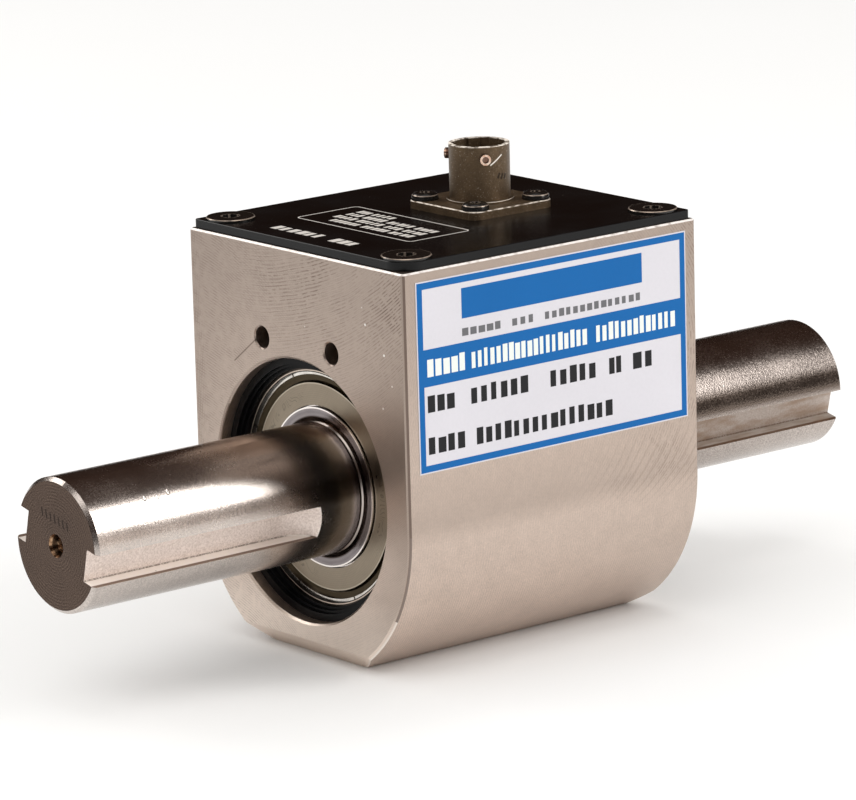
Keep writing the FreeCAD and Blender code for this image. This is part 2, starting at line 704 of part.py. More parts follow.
def shaft():
    """The shaft, one piece from end to end, turned to where its keyways stand at rest."""
    blank = torsion_fillets(shaft_blank())
    cuts = [centre_hole(ACTIVE), centre_hole(DRIVE)]
    for side in (ACTIVE, DRIVE):
        cuts += [keyway(side, turn) for turn in KEYWAY_TURNS]
    return spun(blank.cut(cuts), SHAFT_TURN)


# Bearings


def race_groove(side):
    """Ring of space that the balls roll in."""
    middle = bearing_x(side, BEARING_WIDTH / 2)
    return Part.makeTorus(PITCH_RADIUS, BALL_RADIUS + BALL_CLEARANCE, on_axis(middle), V(1, 0, 0))


def outer_ring(side):
    """Outer ring, stepped at both faces for the shields."""
    w = BEARING_WIDTH
    c = BEARING_EDGE_CHAMFER
    outer = BEARING_RADIUS
    seat = SHIELD_SEAT_RADIUS
    land = OUTER_LAND_RADIUS
    step = SHIELD_SEAT_DEPTH
    corners = [(0, outer - c), (c, outer), (w - c, outer), (w, outer - c), (w, seat), (w - step, seat)]
    corners += [(w - step, land), (step, land), (step, seat), (0, seat)]
    return bearing_turned(side, corners).cut(race_groove(side))


def inner_ring(side):
    """Inner ring, seated on the shaft."""
    w = BEARING_WIDTH
    c = INNER_BORE_CHAMFER
    bore = SHAFT_RADIUS
    face = INNER_FACE_RADIUS
    shoulder = INNER_SHOULDER_RADIUS
    step = INNER_FACE_STEP
    corners = [(c, bore), (0, bore + c), (0, face), (step, face), (step, shoulder), (w - step, shoulder)]
    corners += [(w - step, face), (w, face), (w, bore + c), (w - c, bore)]
    return bearing_turned(side, corners).cut(race_groove(side))


def shields(side):
    """Pressed shields at both faces of a bearing."""
    t = SHIELD_THICKNESS
    face = SHIELD_FACE_DEPTH
    rim = SHIELD_SEAT_DEPTH - t
    seat = SHIELD_SEAT_RADIUS
    raised = SHIELD_RAISED_RADIUS
    low = raised + SHIELD_SLOPE_WIDTH
    hole = INNER_FACE_RADIUS + SHIELD_GAP
    section = [(face, hole), (face, raised), (rim, low), (rim, seat), (rim + t, seat)]
    section += [(rim + t, low - t), (face + t, raised - t), (face + t, hole)]
    back = [(BEARING_WIDTH - d, r) for d, r in section]
    return [bearing_turned(side, section), bearing_turned(side, back)]


def snap_wires(side):
    """Notched wires that hold the shields in the outer ring."""
    outer = SHIELD_SEAT_RADIUS
    inner = outer - SNAP_WIRE_WIDTH
    back = SHIELD_SEAT_DEPTH - SHIELD_THICKNESS
    front = back - SNAP_WIRE_THICKNESS
    half = SNAP_WIRE_NOTCH_WIDTH / 2
    low = AXIS_HEIGHT + inner - PAST
    high = AXIS_HEIGHT + outer + PAST
    step = FULL_TURN / SNAP_WIRE_NOTCHES
    outboard = (front, front + SNAP_WIRE_NOTCH_DEPTH, back)
    inboard = [BEARING_WIDTH - d for d in outboard]
    wires = []
    for face, floor, rear in (outboard, inboard):
        wire = bearing_turned(side, [(face, inner), (face, outer), (rear, outer), (rear, inner)])
        x0, x1 = sorted((bearing_x(side, face), bearing_x(side, floor)))
        notch = box(x0, x1, -half, half, low, high)
        wires.append(wire.cut([spun(notch, (i + 0.5) * step) for i in range(SNAP_WIRE_NOTCHES)]))
    return wires


def balls(side, grow=0.0):
    """Balls of one bearing, spaced evenly."""
    middle = bearing_x(side, BEARING_WIDTH / 2)
    ball = Part.makeSphere(BALL_RADIUS + grow, on_axis(middle, PITCH_RADIUS))
    return [spun(ball, i * FULL_TURN / BALL_COUNT) for i in range(BALL_COUNT)]


def ball_cage(side):
    """Crown cage: a ring at the back with open pockets for the balls."""
    inner = INNER_SHOULDER_RADIUS + CAGE_INNER_GAP
    outer = OUTER_LAND_RADIUS - CAGE_OUTER_GAP
    near = BEARING_WIDTH - SHIELD_SEAT_DEPTH - CAGE_SHIELD_GAP
    far = BEARING_WIDTH / 2 - CAGE_FRONT
    ring = bearing_turned(side, [(far, inner), (near, inner), (near, outer), (far, outer)])
    return ring.cut(balls(side, CAGE_POCKET_CLEARANCE))


def retaining_ring(side):
    """Ring in the bore's groove, stepped down towards the bearing."""
    outer = RETAINER_RADIUS
    front = -RETAINER_THICKNESS
    inner = BEARING_RADIUS - RETAINER_RADIAL_WIDTH + RETAINER_STEP_HEIGHT * (RETAINER_STEPS - 1) / 2
    rise = RETAINER_THICKNESS / RETAINER_STEPS
    corners = [(0, outer), (front, outer)]
    for i in range(RETAINER_STEPS):
        r = inner - i * RETAINER_STEP_HEIGHT
        corners += [(front + i * rise, r), (front + (i + 1) * rise, r)]
    return bearing_turned(side, corners)


def wave_spring():
    """Wavy washer between the housing's shoulder and the bearing at the drive end."""
    middle = BEARING_BACK - WAVE_SPRING_SPACE / 2 - WAVE_SPRING_THICKNESS / 2
    swing = (WAVE_SPRING_SPACE - WAVE_SPRING_THICKNESS) / 2 - ASSEMBLY_GAP
    inner = CENTRAL_BORE_RADIUS + WAVE_SPRING_SIDE_GAP
    outer = BEARING_RADIUS - WAVE_SPRING_SIDE_GAP
    edges = []
    for r in (inner, outer):
        points = []
        for i in range(WAVE_SPRING_POINTS):
            a = math.radians(i * FULL_TURN / WAVE_SPRING_POINTS)
            x = middle + swing * math.cos(WAVE_SPRING_WAVES * a)
            points.append(V(x, r * math.cos(a), AXIS_HEIGHT + r * math.sin(a)))
        curve = Part.BSplineCurve()
        curve.interpolate(points, PeriodicFlag=True)
        edges.append(curve.toShape())
    sheet = Part.makeRuledSurface(edges[0], edges[1])
    return outward(sheet.extrude(V(WAVE_SPRING_THICKNESS, 0, 0)))


# Slip rings and gauges on the shaft


def around_ring(x, radius):
    """Hoop as wide as a slip ring, from its seat out to a radius."""
    half = RING_WIDTH / 2
    return bar(x - half, x + half, radius).cut(bar(x - half, x + half, RING_SEAT_RADIUS))


def slip_ring_sleeve():
    """Insulating sleeve with a seat for each ring."""
    sleeve = bar(SLEEVE_START, BEARING_BACK, SLEEVE_RADIUS)
    cuts = [bar(SLEEVE_START - PAST, BEARING_BACK + PAST, SLEEVE_SEAT_RADIUS)]
    cuts += [around_ring(x, SLEEVE_RADIUS + PAST) for x in RING_CENTRES]
    end_start = BEARING_BACK - SLEEVE_END_RELIEF
    end = bar(end_start, BEARING_BACK + PAST, SLEEVE_RADIUS + PAST)
    cuts.append(end.cut(bar(end_start, BEARING_BACK + PAST, INNER_FACE_RADIUS)))
    return sleeve.cut(cuts)


def slip_rings():
    """Silver rings in the sleeve's seats."""
    return [around_ring(x, RING_RADIUS) for x in RING_CENTRES]


def strain_gauges():
    """Foil gauges spaced around the thin section."""
    middle = (TORSION_START + COLLAR_START) / 2
    r = TORSION_RADIUS
    half = GAUGE_LENGTH / 2
    corners = [(middle - half, r), (middle + half, r), (middle + half, r + GAUGE_THICKNESS)]
    corners.append((middle - half, r + GAUGE_THICKNESS))
    gauge = turned(corners, GAUGE_SPAN_ANGLE)
    return [spun(gauge, i * FULL_TURN / GAUGE_COUNT) for i in range(GAUGE_COUNT)]


# Brushes and wiring under the cover


def block_screw_places():
    """Centres of the brush block's screws and the height that each head bears on."""
    xs = (GUIDE_START - BLOCK_SCREW_MARGIN / 2, GUIDE_END + BLOCK_SCREW_MARGIN / 2)
    bearing_on = ((-BLOCK_SCREW_Y, BLOCK_TOP), (BLOCK_SCREW_Y, BOARD_TOP))
    return [(x, y, z) for x in xs for y, z in bearing_on]


def block_screw(x, y, z, grow=0.0):
    """Cheese-head screw into the pocket's floor; grown a little, it cuts its hole."""
    stem = BLOCK_SCREW_DIAMETER / 2 + grow
    shank = post(x, y, POCKET_FLOOR - BLOCK_SCREW_GRIP - grow, z + grow, stem)
    if grow:
        return shank
    return shank.fuse(post(x, y, z, z + BLOCK_SCREW_HEAD_HEIGHT, BLOCK_SCREW_HEAD / 2))


def brush_slots(grow):
    """Upright prisms at the brushes' places, grown a little for their slots."""
    x = BRUSH_WIDTH / 2 + grow
    y = BRUSH_DEPTH / 2 + grow
    return [box(c - x, c + x, -y, y, AXIS_HEIGHT, BLOCK_TOP + BRUSH_PROUD) for c in RING_CENTRES]


def brush_block():
    """Moulded block that guides the brushes down to the rings."""
    guide = BLOCK_GUIDE_WIDTH / 2
    flange = BLOCK_FLANGE_WIDTH / 2
    low = AXIS_HEIGHT + RING_RADIUS + BLOCK_ABOVE_RINGS
    x0 = GUIDE_START - BLOCK_SCREW_MARGIN
    x1 = GUIDE_END + BLOCK_SCREW_MARGIN
    body = box(GUIDE_START, GUIDE_END, -guide, guide, low, POCKET_FLOOR)
    body = body.fuse(box(x0, x1, -flange, flange, POCKET_FLOOR, BLOCK_TOP))
    cuts = brush_slots(ASSEMBLY_GAP)
    cuts += [block_screw(x, y, z, ASSEMBLY_GAP) for x, y, z in block_screw_places()]
    return body.cut(cuts)


def brushes():
    """Brushes shaped to the rings at their feet."""
    ring = bar(GUIDE_START - PAST, GUIDE_END + PAST, RING_RADIUS + BRUSH_GAP)
    return [brush.cut(ring) for brush in brush_slots(0)]


def brush_springs():
    """Leaf springs clamped under the terminal board, each bearing on one brush."""
    z = BLOCK_TOP
    lift = BRUSH_PROUD
    half = BRUSH_DEPTH / 2
    run = [(BOARD_OUTER_Y, z), (BOARD_INNER_Y, z), (half, z + lift), (-half, z + lift)]
    upper = [(y, h + LEAF_THICKNESS) for y, h in reversed(run)]
    springs = []
    for c in RING_CENTRES:
        corners = [V(c - LEAF_WIDTH / 2, y, h) for y, h in run + upper]
        springs.append(outward(face_of(corners).extrude(V(LEAF_WIDTH, 0, 0))))
    return springs


def terminal_board():
    """Board over the springs' fixed ends."""
    x0 = GUIDE_START - BLOCK_SCREW_MARGIN
    x1 = GUIDE_END + BLOCK_SCREW_MARGIN
    board = box(x0, x1, BOARD_INNER_Y, BOARD_OUTER_Y, BLOCK_TOP + LEAF_THICKNESS, BOARD_TOP)
    return board.cut([block_screw(x, y, z, ASSEMBLY_GAP) for x, y, z in block_screw_places() if y > 0])


def lead_wire(start, end, run):
    """Wire that rises from a pad, crosses over and rises into a solder cup."""
    r = LEAD_BEND_RADIUS
    across = V(end.x - start.x, end.y - start.y, 0)
    level = across * (1 / across.Length)
    up = V(0, 0, 1)
    z = V(0, 0, run)
    sharp = math.sqrt(0.5)
    a = start + z - up * r
    b = start + z + level * r
    low_corner = a + level * r
    c = V(end.x, end.y, start.z) + z - level * r
    d = V(end.x, end.y, start.z) + z + up * r
    high_corner = d - level * r
    edges = [
        Part.LineSegment(start, a).toShape(),
        Part.Arc(a, low_corner + (up - level) * (r * sharp), b).toShape(),
        Part.LineSegment(b, c).toShape(),
        Part.Arc(c, high_corner + (level - up) * (r * sharp), d).toShape(),
        Part.LineSegment(d, end).toShape(),
    ]
    path = Part.Wire(edges)
    section = Part.Wire([Part.Circle(start, up, LEAD_DIAMETER / 2).toShape()])
    return outward(path.makePipeShell([section], True, False))


def lead_wires():
    """Four wires from the board to the connector; the two outer ones run lower."""
    pads = (0, 1, RING_COUNT - 2, RING_COUNT - 1)
    cups = sorted(contact_places(), key=lambda place: (round(place[0], 3), round(place[1], 3)))
    ordered = (cups[0], cups[1], cups[3], cups[2])
    runs = (LEAD_LOW_RUN, LEAD_HIGH_RUN, LEAD_HIGH_RUN, LEAD_LOW_RUN)
    wires = []
    for pad, cup, run in zip(pads, ordered, runs):
        start = V(RING_CENTRES[pad], BOARD_INNER_Y + PAD_FROM_BOARD_EDGE, BOARD_TOP)
        end = V(cup[0], cup[1], REAR_SHELL_END - SOLDER_CUP_LENGTH)
        wires.append(lead_wire(start, end, run))
    return wires


def build():
    """Write every piece."""
    os.makedirs("parts", exist_ok=True)
    write("housing", housing())
    write("top_cover", top_cover())
    write("cover_screws", cover_screws())
    write("connector_shell", connector_shell())
    write("connector_insert", connector_insert())
    write("connector_contacts", [connector_contact(x, y) for x, y in contact_places()])
    write("connector_bayonet_pins", bayonet_pins())
    write("connector_screws", connector_screws())
    write("side_label", side_label())
    for side, end in ((ACTIVE, "active"), (DRIVE, "drive")):
        write(end + "_outer_ring", outer_ring(side))
        write(end + "_inner_ring", inner_ring(side))
        write(end + "_shields", shields(side))
        write(end + "_snap_wires", snap_wires(side))
        write(end + "_balls", balls(side))
        write(end + "_ball_cage", ball_cage(side))
        write(end + "_retaining_ring", retaining_ring(side))
    write("wave_spring", wave_spring())
    write("shaft", shaft())
    write("slip_ring_sleeve", slip_ring_sleeve())
    write("slip_rings", slip_rings())
    write("strain_gauges", strain_gauges())
    write("brush_block", brush_block())
    write("brushes", brushes())
    write("brush_springs", brush_springs())
    write("brush_block_screws", [block_screw(x, y, z) for x, y, z in block_screw_places()])
    write("terminal_board", terminal_board())
    write("lead_wires", lead_wires())


build()
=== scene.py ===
"""Surface finishes, printed marks and a small studio for the rotary torque sensor."""
import math
import bmesh
import bpy
from mathutils import Matrix, Vector


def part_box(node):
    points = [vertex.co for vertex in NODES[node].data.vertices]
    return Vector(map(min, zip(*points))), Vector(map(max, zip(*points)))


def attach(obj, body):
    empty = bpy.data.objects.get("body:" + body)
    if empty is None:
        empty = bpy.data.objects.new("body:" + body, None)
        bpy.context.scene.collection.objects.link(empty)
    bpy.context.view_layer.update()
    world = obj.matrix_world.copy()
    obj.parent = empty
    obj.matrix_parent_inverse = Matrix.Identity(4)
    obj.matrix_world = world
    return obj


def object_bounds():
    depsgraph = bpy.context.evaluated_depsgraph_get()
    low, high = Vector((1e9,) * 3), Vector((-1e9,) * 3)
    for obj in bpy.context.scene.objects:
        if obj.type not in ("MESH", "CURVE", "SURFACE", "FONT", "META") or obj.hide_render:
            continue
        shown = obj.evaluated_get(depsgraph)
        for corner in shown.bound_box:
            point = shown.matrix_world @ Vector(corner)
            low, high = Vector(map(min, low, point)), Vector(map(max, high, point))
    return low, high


bl_info = {
    "name": "Rotary torque sensor",
    "version": (1, 0, 0),
    "blender": (4, 5, 0),
    "location": "View3D > Sidebar > Torque sensor",
    "description": "Finishes and prints a keyed-shaft torque sensor and sets it in a studio",
    "category": "Object",
}

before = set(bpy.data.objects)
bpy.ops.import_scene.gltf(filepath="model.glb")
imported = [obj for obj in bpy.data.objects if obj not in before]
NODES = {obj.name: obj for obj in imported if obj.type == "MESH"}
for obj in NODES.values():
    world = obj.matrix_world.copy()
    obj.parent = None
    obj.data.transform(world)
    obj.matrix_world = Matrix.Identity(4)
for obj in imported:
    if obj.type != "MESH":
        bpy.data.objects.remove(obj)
CAD_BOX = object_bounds()
MM = 0.001

# Boxes of the pieces that the finishes and the print are placed by
CASING_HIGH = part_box("housing")[1]
PLATE_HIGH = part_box("top_cover")[1]
LABEL_LOW, LABEL_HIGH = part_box("side_label")
SHAFT_LOW, SHAFT_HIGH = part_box("shaft")
SHELL_LOW, SHELL_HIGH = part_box("connector_shell")

# The axis of the shaft, which the turned surfaces are measured from
AXIS_HEIGHT = (SHAFT_LOW.z + SHAFT_HIGH.z) / 2
SHAFT_END = SHAFT_HIGH.x

# Casing: reach of its bore, centre of its round belly, and its broken top edge
BORE_REACH = 26.8 * MM
BELLY_HEIGHT = 28.9 * MM
TOP_EDGE = 0.5 * MM

# Bearings, from the axis: lip of the inner ring, stamped strokes, edge of the shield, seat of its wire
INNER_LIP = 15.35 * MM
STAMP_LOW = 16.9 * MM
STAMP_HIGH = 18.3 * MM
SHIELD_STEP = 19.95 * MM
WIRE_SEAT = 22.1 * MM

# Keyways: turn about the axis in degrees, half width, and how far out floor, walls and edges lie
KEYWAY_TURN = 13.0
KEYWAY_HALF = 3.175 * MM
KEYWAY_FLOOR = 9.12 * MM
KEYWAY_TOP = 12.3 * MM
KEYWAY_REACH = 12.62 * MM
KEYWAY_START = 38 * MM

# Screws: where they stand from the middle, and the radius of their heads and sockets
COVER_SCREWS = {"half_x": 30.25 * MM, "half_y": 26.4 * MM, "head": 4.62 * MM, "socket": 1.8 * MM}
SHELL_SCREWS = {"half_x": 7.5 * MM, "half_y": 7.5 * MM, "head": 2.5 * MM, "socket": 0.92 * MM}

# Connector: the barrel's axis, its rim, the flange under it, and the cups in the ends of its pins
BARREL_X = (SHELL_LOW.x + SHELL_HIGH.x) / 2
RIM_HEIGHT = SHELL_HIGH.z
FLANGE_TOP = RIM_HEIGHT - 11 * MM
CUP_REACH = 6.5 * MM

# Small marks in millimetres: places across and up on the surface, and radii of spots
END_BARS = tuple(((4.0 - 1.27 * i, 38.7 - 0.28 * i), (3.8 - 1.27 * i, 37.4 - 0.28 * i))
                 for i in range(7))
SHAFT_DENTS = (((-79.4, 40.4), 0.38), ((-76.6, 40.2), 0.3), ((-74.0, 40.6), 0.42))
BARREL_SCRATCH = ((7.9, 89.2), (10.3, 90.9))
BARREL_BARS = (((9.4, 86.7), (9.7, 87.3)), ((10.2, 86.5), (10.5, 87.1)), ((11.0, 86.4), (11.3, 87.0)))
FACE_NICKS = (((-20.9, 67.5), 0.28), ((-26.2, 62.5), 0.32), ((-28.3, 57.0), 0.22),
              ((-25.5, 52.4), 0.26))
FACE_SCRATCH = ((12.5, 59.5), (19.0, 54.6))

# Width of the photograph's frame in pixels, and the lens that the camera solution gives for it
FRAME_WIDTH = 856
FOCAL_PIXELS = 5499.95
SENSOR_WIDTH = 36.0


# Wiring of the finishes

class Field:
    """A value or colour that varies over a surface; arithmetic on it adds Math nodes to its tree."""

    def __init__(self, socket):
        self.socket = socket
        self.tree = socket.id_data

    def __add__(self, other):
        return calc("ADD", self, other)

    def __sub__(self, other):
        return calc("SUBTRACT", self, other)

    def __rsub__(self, other):
        return calc("SUBTRACT", other, self)

    def __mul__(self, other):
        return calc("MULTIPLY", self, other)

    def __gt__(self, other):
        return calc("GREATER_THAN", self, other)

    def __lt__(self, other):
        return calc("LESS_THAN", self, other)

    def __abs__(self):
        return calc("ABSOLUTE", self)


def feed(socket, value):
    """Links a field or a socket to a socket, or sets a plain number, vector or colour on it."""
    source = value.socket if isinstance(value, Field) else value
    if isinstance(source, bpy.types.NodeSocket):
        socket.id_data.links.new(source, socket)
    else:
        socket.default_value = source


def put(tree, kind, inputs=None, **settings):
    """A node of one kind with its settings, and its inputs fed by index or name."""
    node = tree.nodes.new(kind)
    for name, value in settings.items():
        setattr(node, name, value)
    for key, value in (inputs or {}).items():
        feed(node.inputs[key], value)
    return node


def made(tree, kind, inputs=None, **settings):
    """The first output of a new node."""
    return Field(put(tree, kind, inputs, **settings).outputs[0])


def calc(operation, *values):
    """The result of one Math node; at least one of the values is a field."""
    tree = next(value.tree for value in values if isinstance(value, Field))
    return made(tree, "ShaderNodeMath", dict(enumerate(values)), operation=operation)


def span(value, low, high, to_low=0.0, to_high=1.0):
    """A value moved from one range to another, held at its ends."""
    limits = {"Value": value, "From Min": low, "From Max": high, "To Min": to_low, "To Max": to_high}
    return made(value.tree, "ShaderNodeMapRange", limits)


def blend_colours(factor, first, second):
    """A colour between two, by a factor; plain colours get their alpha here."""
    node = put(factor.tree, "ShaderNodeMix", data_type="RGBA")
    feed(node.inputs["Factor"], factor)
    sockets = [socket for socket in node.inputs if socket.type == "RGBA"]
    for socket, colour in zip(sockets, (first, second)):
        feed(socket, colour if isinstance(colour, Field) else (*colour, 1.0))
    return Field(next(socket for socket in node.outputs if socket.type == "RGBA"))


def painted(colour, *layers):
    """A colour with others laid over it in turn, each where its own mask says."""
    for mask, tint in layers:
        colour = blend_colours(mask, colour, tint)
    return colour


def tinted(colour, factor):
    """A plain colour made darker or lighter."""
    return tuple(min(1.0, channel * factor) for channel in colour)


def parts_of(vector):
    """The X, Y and Z of a vector."""
    return [Field(part) for part in put(vector.tree, "ShaderNodeSeparateXYZ", {0: vector}).outputs]


def place_of(shader):
    """The point on the piece, in metres: as a vector, and its X, Y and Z."""
    where = Field(put(shader.id_data, "ShaderNodeTexCoord").outputs["Object"])
    return [where] + parts_of(where)


def facing_of(shader):
    """How far the surface faces along X, Y and Z, without its sign."""
    normal = Field(put(shader.id_data, "ShaderNodeTexCoord").outputs["Normal"])
    return [abs(part) for part in parts_of(normal)]


def grain(where, size, detail=3.0, stretch=(1.0, 1.0, 1.0)):
    """Cloudy noise from 0 to 1 whose grains are about size metres across, longer along a stretch."""
    scale = tuple(1.0 / share for share in stretch)
    scaled = made(where.tree, "ShaderNodeMapping", {"Vector": where, "Scale": scale})
    values = {"Vector": scaled, "Scale": 1.0 / size, "Detail": detail}
    return made(where.tree, "ShaderNodeTexNoise", values)


def specks(where, spacing, share):
    """1 on small scattered dots, 0 between them."""
    return made(where.tree, "ShaderNodeTexVoronoi", {"Vector": where, "Scale": 1.0 / spacing}) < share


def distance(u, v):
    """The length of a flat run from its two parts."""
    return calc("SQRT", u * u + v * v)


def distance_from_axis(across, up):
    """How far a point is from the shaft's axis."""
    return distance(across, up - AXIS_HEIGHT)


def dot(u, v, place, radius):
    """1 inside one small round spot, fading to 0 at its edge; place and radius are in millimetres."""
    return span(distance(u - place[0] * MM, v - place[1] * MM), radius * MM, 0.6 * radius * MM)


def streak(u, v, start, end, width):
    """1 along one straight scratch, fading to 0 at its edges; its ends and width are in millimetres."""
    run = math.dist(start, end)
    to_u = (end[0] - start[0]) / run
    to_v = (end[1] - start[1]) / run
    du = u - start[0] * MM
    dv = v - start[1] * MM
    half = run * MM / 2
    across = du * to_v - dv * to_u
    beyond = abs(du * to_u + dv * to_v - half) - half
    return span(strongest(abs(across), beyond), width * MM, 0.5 * width * MM)


def band(value, low, high, soft):
    """1 between two limits, fading to 0 over a soft edge outside them."""
    return span(value, low - soft, low) * span(value, high + soft, high)


def strongest(*values):
    """The largest of several values at each point."""
    largest = values[0]
    for value in values[1:]:
        largest = calc("MAXIMUM", largest, value)
    return largest


def ripples(travel, pitch):
    """A wave from -1 to 1 that repeats every pitch of travel."""
    return calc("SINE", travel * (2.0 * math.pi / pitch))


def new_finish(name, metallic=0.0, roughness=0.4, sheen=0.5):
    """A material with one Principled shader, whose even values stand on its own sockets."""
    finish = bpy.data.materials.new(name)
    finish.use_nodes = True
    shader = finish.node_tree.nodes["Principled BSDF"]
    even = {"Metallic": metallic, "Roughness": roughness, "Specular IOR Level": sheen}
    for socket, value in even.items():
        shader.inputs[socket].default_value = value
    return finish, shader


def dress(finish, shader, colour, roughness, height, depth):
    """Feeds a finish's colour and roughness, and presses its relief in: depth at a height of 1."""
    feed(shader.inputs["Base Color"], colour)
    feed(shader.inputs["Roughness"], roughness)
    relief = {"Height": height, "Distance": depth, "Strength": 1.0}
    feed(shader.inputs["Normal"], made(shader.id_data, "ShaderNodeBump", relief))
    return finish


# The finishes of the real piece

def arc_travel(along, across, radius, bow):
    """How far along a face the cutter stood when its edge passed a point; bow turns the arc over."""
    arch = calc("SQRT", strongest(radius * radius - across * across, 0.0))
    return along + arch * bow


def by_face(end_face, on_side, on_end):
    """One value on the long sides and another on the end faces."""
    return made(end_face.tree, "ShaderNodeMix", {"Factor": end_face, 2: on_side, 3: on_end})


def milled_steel(look):
    """Nickel-coloured block with crossing cutter arcs, painted highlights and shade on its edges and
    faces, small nicks and one scratch.
    """
    finish, shader = new_finish("milled_steel", metallic=1.0, roughness=0.36)
    where, x, y, z = place_of(shader)
    facing_x, facing_y, facing_z = facing_of(shader)
    end_face = facing_x > 0.7
    plain_side = 1.0 - end_face
    flat = strongest(facing_x, facing_y) > 0.9
    bore = (distance_from_axis(y, z) < BORE_REACH) * (facing_x < 0.5)
    outside = 1.0 - bore

    # Cutter marks: coarse dark strokes, strongest high up near the label, over two fine crossing sets
    along = by_face(end_face, x, z) + grain(where, 14 * MM, 2.0) * (1.4 * MM)
    across = by_face(end_face, z - 55 * MM, y - 18 * MM)
    other = by_face(end_face, z - 20 * MM, y - 50 * MM)
    bow = by_face(end_face, -1.0, 1.0)
    stroke = arc_travel(along, across, by_face(end_face, 34 * MM, 80 * MM), bow)
    crossing = arc_travel(along, other, 85 * MM, bow * -1.0)
    coarse = ripples(stroke, look.mark_pitch * 0.74)
    fine = ripples(stroke, look.mark_pitch * 0.43)
    crossed = ripples(crossing, look.mark_pitch * 0.62)
    wide = ripples(stroke + grain(where, 6 * MM, 2.0) * (1.2 * MM), look.mark_pitch * 2.3)

    # Where they show: in patches, in dashes, and in a few sweeps below the label
    patches = span(grain(where, 8 * MM), 0.34, 0.62, 0.15, 1.0)
    dashes = span(grain(where, 1.1 * MM, 2.0), 0.38, 0.56)
    broken = span(grain(where, 1.6 * MM), 0.34, 0.62)
    upper = span(z, 50 * MM, 70 * MM, 0.12, 1.0)
    on_end = patches * upper * span(y, 22 * MM, -10 * MM, 0.12, 1.0)
    on_side = span(x, 4 * MM, 34 * MM, 0.12, 0.6) * patches * span(z, 24 * MM, 31 * MM)
    strength = by_face(end_face, on_side, on_end) * flat
    gouge = span(coarse, 0.05, 0.85) * (strength * dashes)
    below_label = span(z, 24 * MM, 28 * MM) * span(z, 42 * MM, 36 * MM)
    sweep = below_label * span(x, -4 * MM, 22 * MM) * plain_side
    swept = span(wide, 0.45, 0.98) * (sweep * flat)
    left_side = span(y, -4 * MM, 18 * MM, 0.35, 1.0) * broken
    scored = span(crossed, 0.25, 0.95) * (left_side * flat)
    brushed = ripples(y, 0.55 * MM) * span(y, 26.5 * MM, 30 * MM)
    brushed = span(brushed, 0.2, 0.9) * (broken * end_face)
    gouged = strongest(gouge * 0.72, scored * 0.42, brushed * 0.45, swept * 0.2)
    marks = (fine * broken + crossed * 0.5) * outside + ripples(x, 0.42 * MM) * (bore * 0.3)

    # Even colour with a fine speckle; painted shade deeper towards the top and in the shaded parts of
    # the end faces, a darker band below the label, and painted light at the foot
    speckle = grain(where, 0.33 * MM, 2.0)
    tone = marks * 0.2 + speckle * 0.75 + grain(where, 4.5 * MM, 4.0) * 0.3
    # A darker band on the sides below the label, and painted shade on the long faces towards the +X end
    shelf = span(z, 41 * MM, 31 * MM, 0.0, 0.42) * span(z, 26.5 * MM, 30 * MM)
    shelf = strongest(shelf, span(x, 0.0, 36 * MM, 0.0, 0.2)) * plain_side
    # Painted shade on the end faces: low down towards -Y, and towards +Y
    shaded = span(y, -18 * MM, -31 * MM, 0.0, 0.55) * end_face * span(z, 60 * MM, 30 * MM)
    shaded_outer_side = span(y, 14 * MM, 31 * MM, 0.0, 0.45) * end_face
    # Painted light low on the end faces, near the floor
    foot = span(z, 16 * MM, 4 * MM, 0.0, 0.75) * end_face

    # Edges: a painted highlight line on the belly and the top, painted shade on the upright corners and
    # ends
    belly = distance(y, z - BELLY_HEIGHT)
    # Painted highlight along the round lower edge of the end faces
    painted_rim_highlight = span(belly, CASING_HIGH.y - 0.35 * MM, CASING_HIGH.y - 0.15 * MM)
    painted_rim_highlight = painted_rim_highlight * (z < BELLY_HEIGHT) * end_face
    away = abs(x)
    shadow = span(away, CASING_HIGH.x - 0.45 * MM, CASING_HIGH.x - 0.15 * MM) * outside
    shadow = shadow * plain_side * (facing_z < 0.95)
    corner = calc("MINIMUM", facing_x, facing_y) > 0.6
    corner = corner * span(away, CASING_HIGH.x - 0.3 * MM, CASING_HIGH.x - 0.2 * MM, 1.35, 0.3)
    # Painted highlight along the broken top edge, made less metallic so that its pale colour shows
    painted_edge_highlight = span(z, CASING_HIGH.z - TOP_EDGE * 0.75, CASING_HIGH.z - TOP_EDGE * 0.55)
    painted_edge_highlight = painted_edge_highlight * band(facing_z, 0.3, 0.9, 0.02) * span(broken, 0.0, 0.6, 0.55, 1.0)

    # Nicks and the scratch on the front face
    front = end_face * (x < 0.0)
    nicks = strongest(*[dot(y, z, place, size) for place, size in FACE_NICKS])
    nicks = strongest(nicks, specks(where, 9 * MM, 0.016) * 0.6)
    scratch = streak(y, z, *FACE_SCRATCH, 0.18) * front

    deeper = tinted(look.casing, 0.58)
    colour = blend_colours(span(tone, 0.12, 0.9), tinted(look.casing, 0.74), tinted(look.casing, 1.22))
    colour = painted(colour,
                     # Painted shade, deeper towards the top
                     (span(z, 18 * MM, 72 * MM, 0.0, 0.72), deeper),
                     (shelf, deeper),
                     (strongest(shaded, shaded_outer_side), deeper),
                     # Painted light at the foot of the end faces
                     (foot, (0.98, 0.86, 0.76)),
                     (gouged, (0.13, 0.08, 0.062)),
                     (painted_rim_highlight * 0.6, (0.98, 0.93, 0.88)),
                     (strongest(shadow, corner) * 0.62, (0.17, 0.12, 0.098)),
                     (painted_edge_highlight, (0.96, 0.9, 0.86)),
                     (nicks * front * 0.9, (1.0, 0.98, 0.95)),
                     (scratch * 0.7, (0.14, 0.1, 0.08)))
    feed(shader.inputs["Metallic"], span(painted_edge_highlight, 0.0, 1.0, 1.0, 0.25))
    gloss = span(speckle, 0.3, 0.75, look.casing_gloss, look.casing_gloss + 0.14)
    return dress(finish, shader, colour, gloss, marks * 0.5 + speckle * 0.9 - gouge * 1.5, 0.007 * MM)


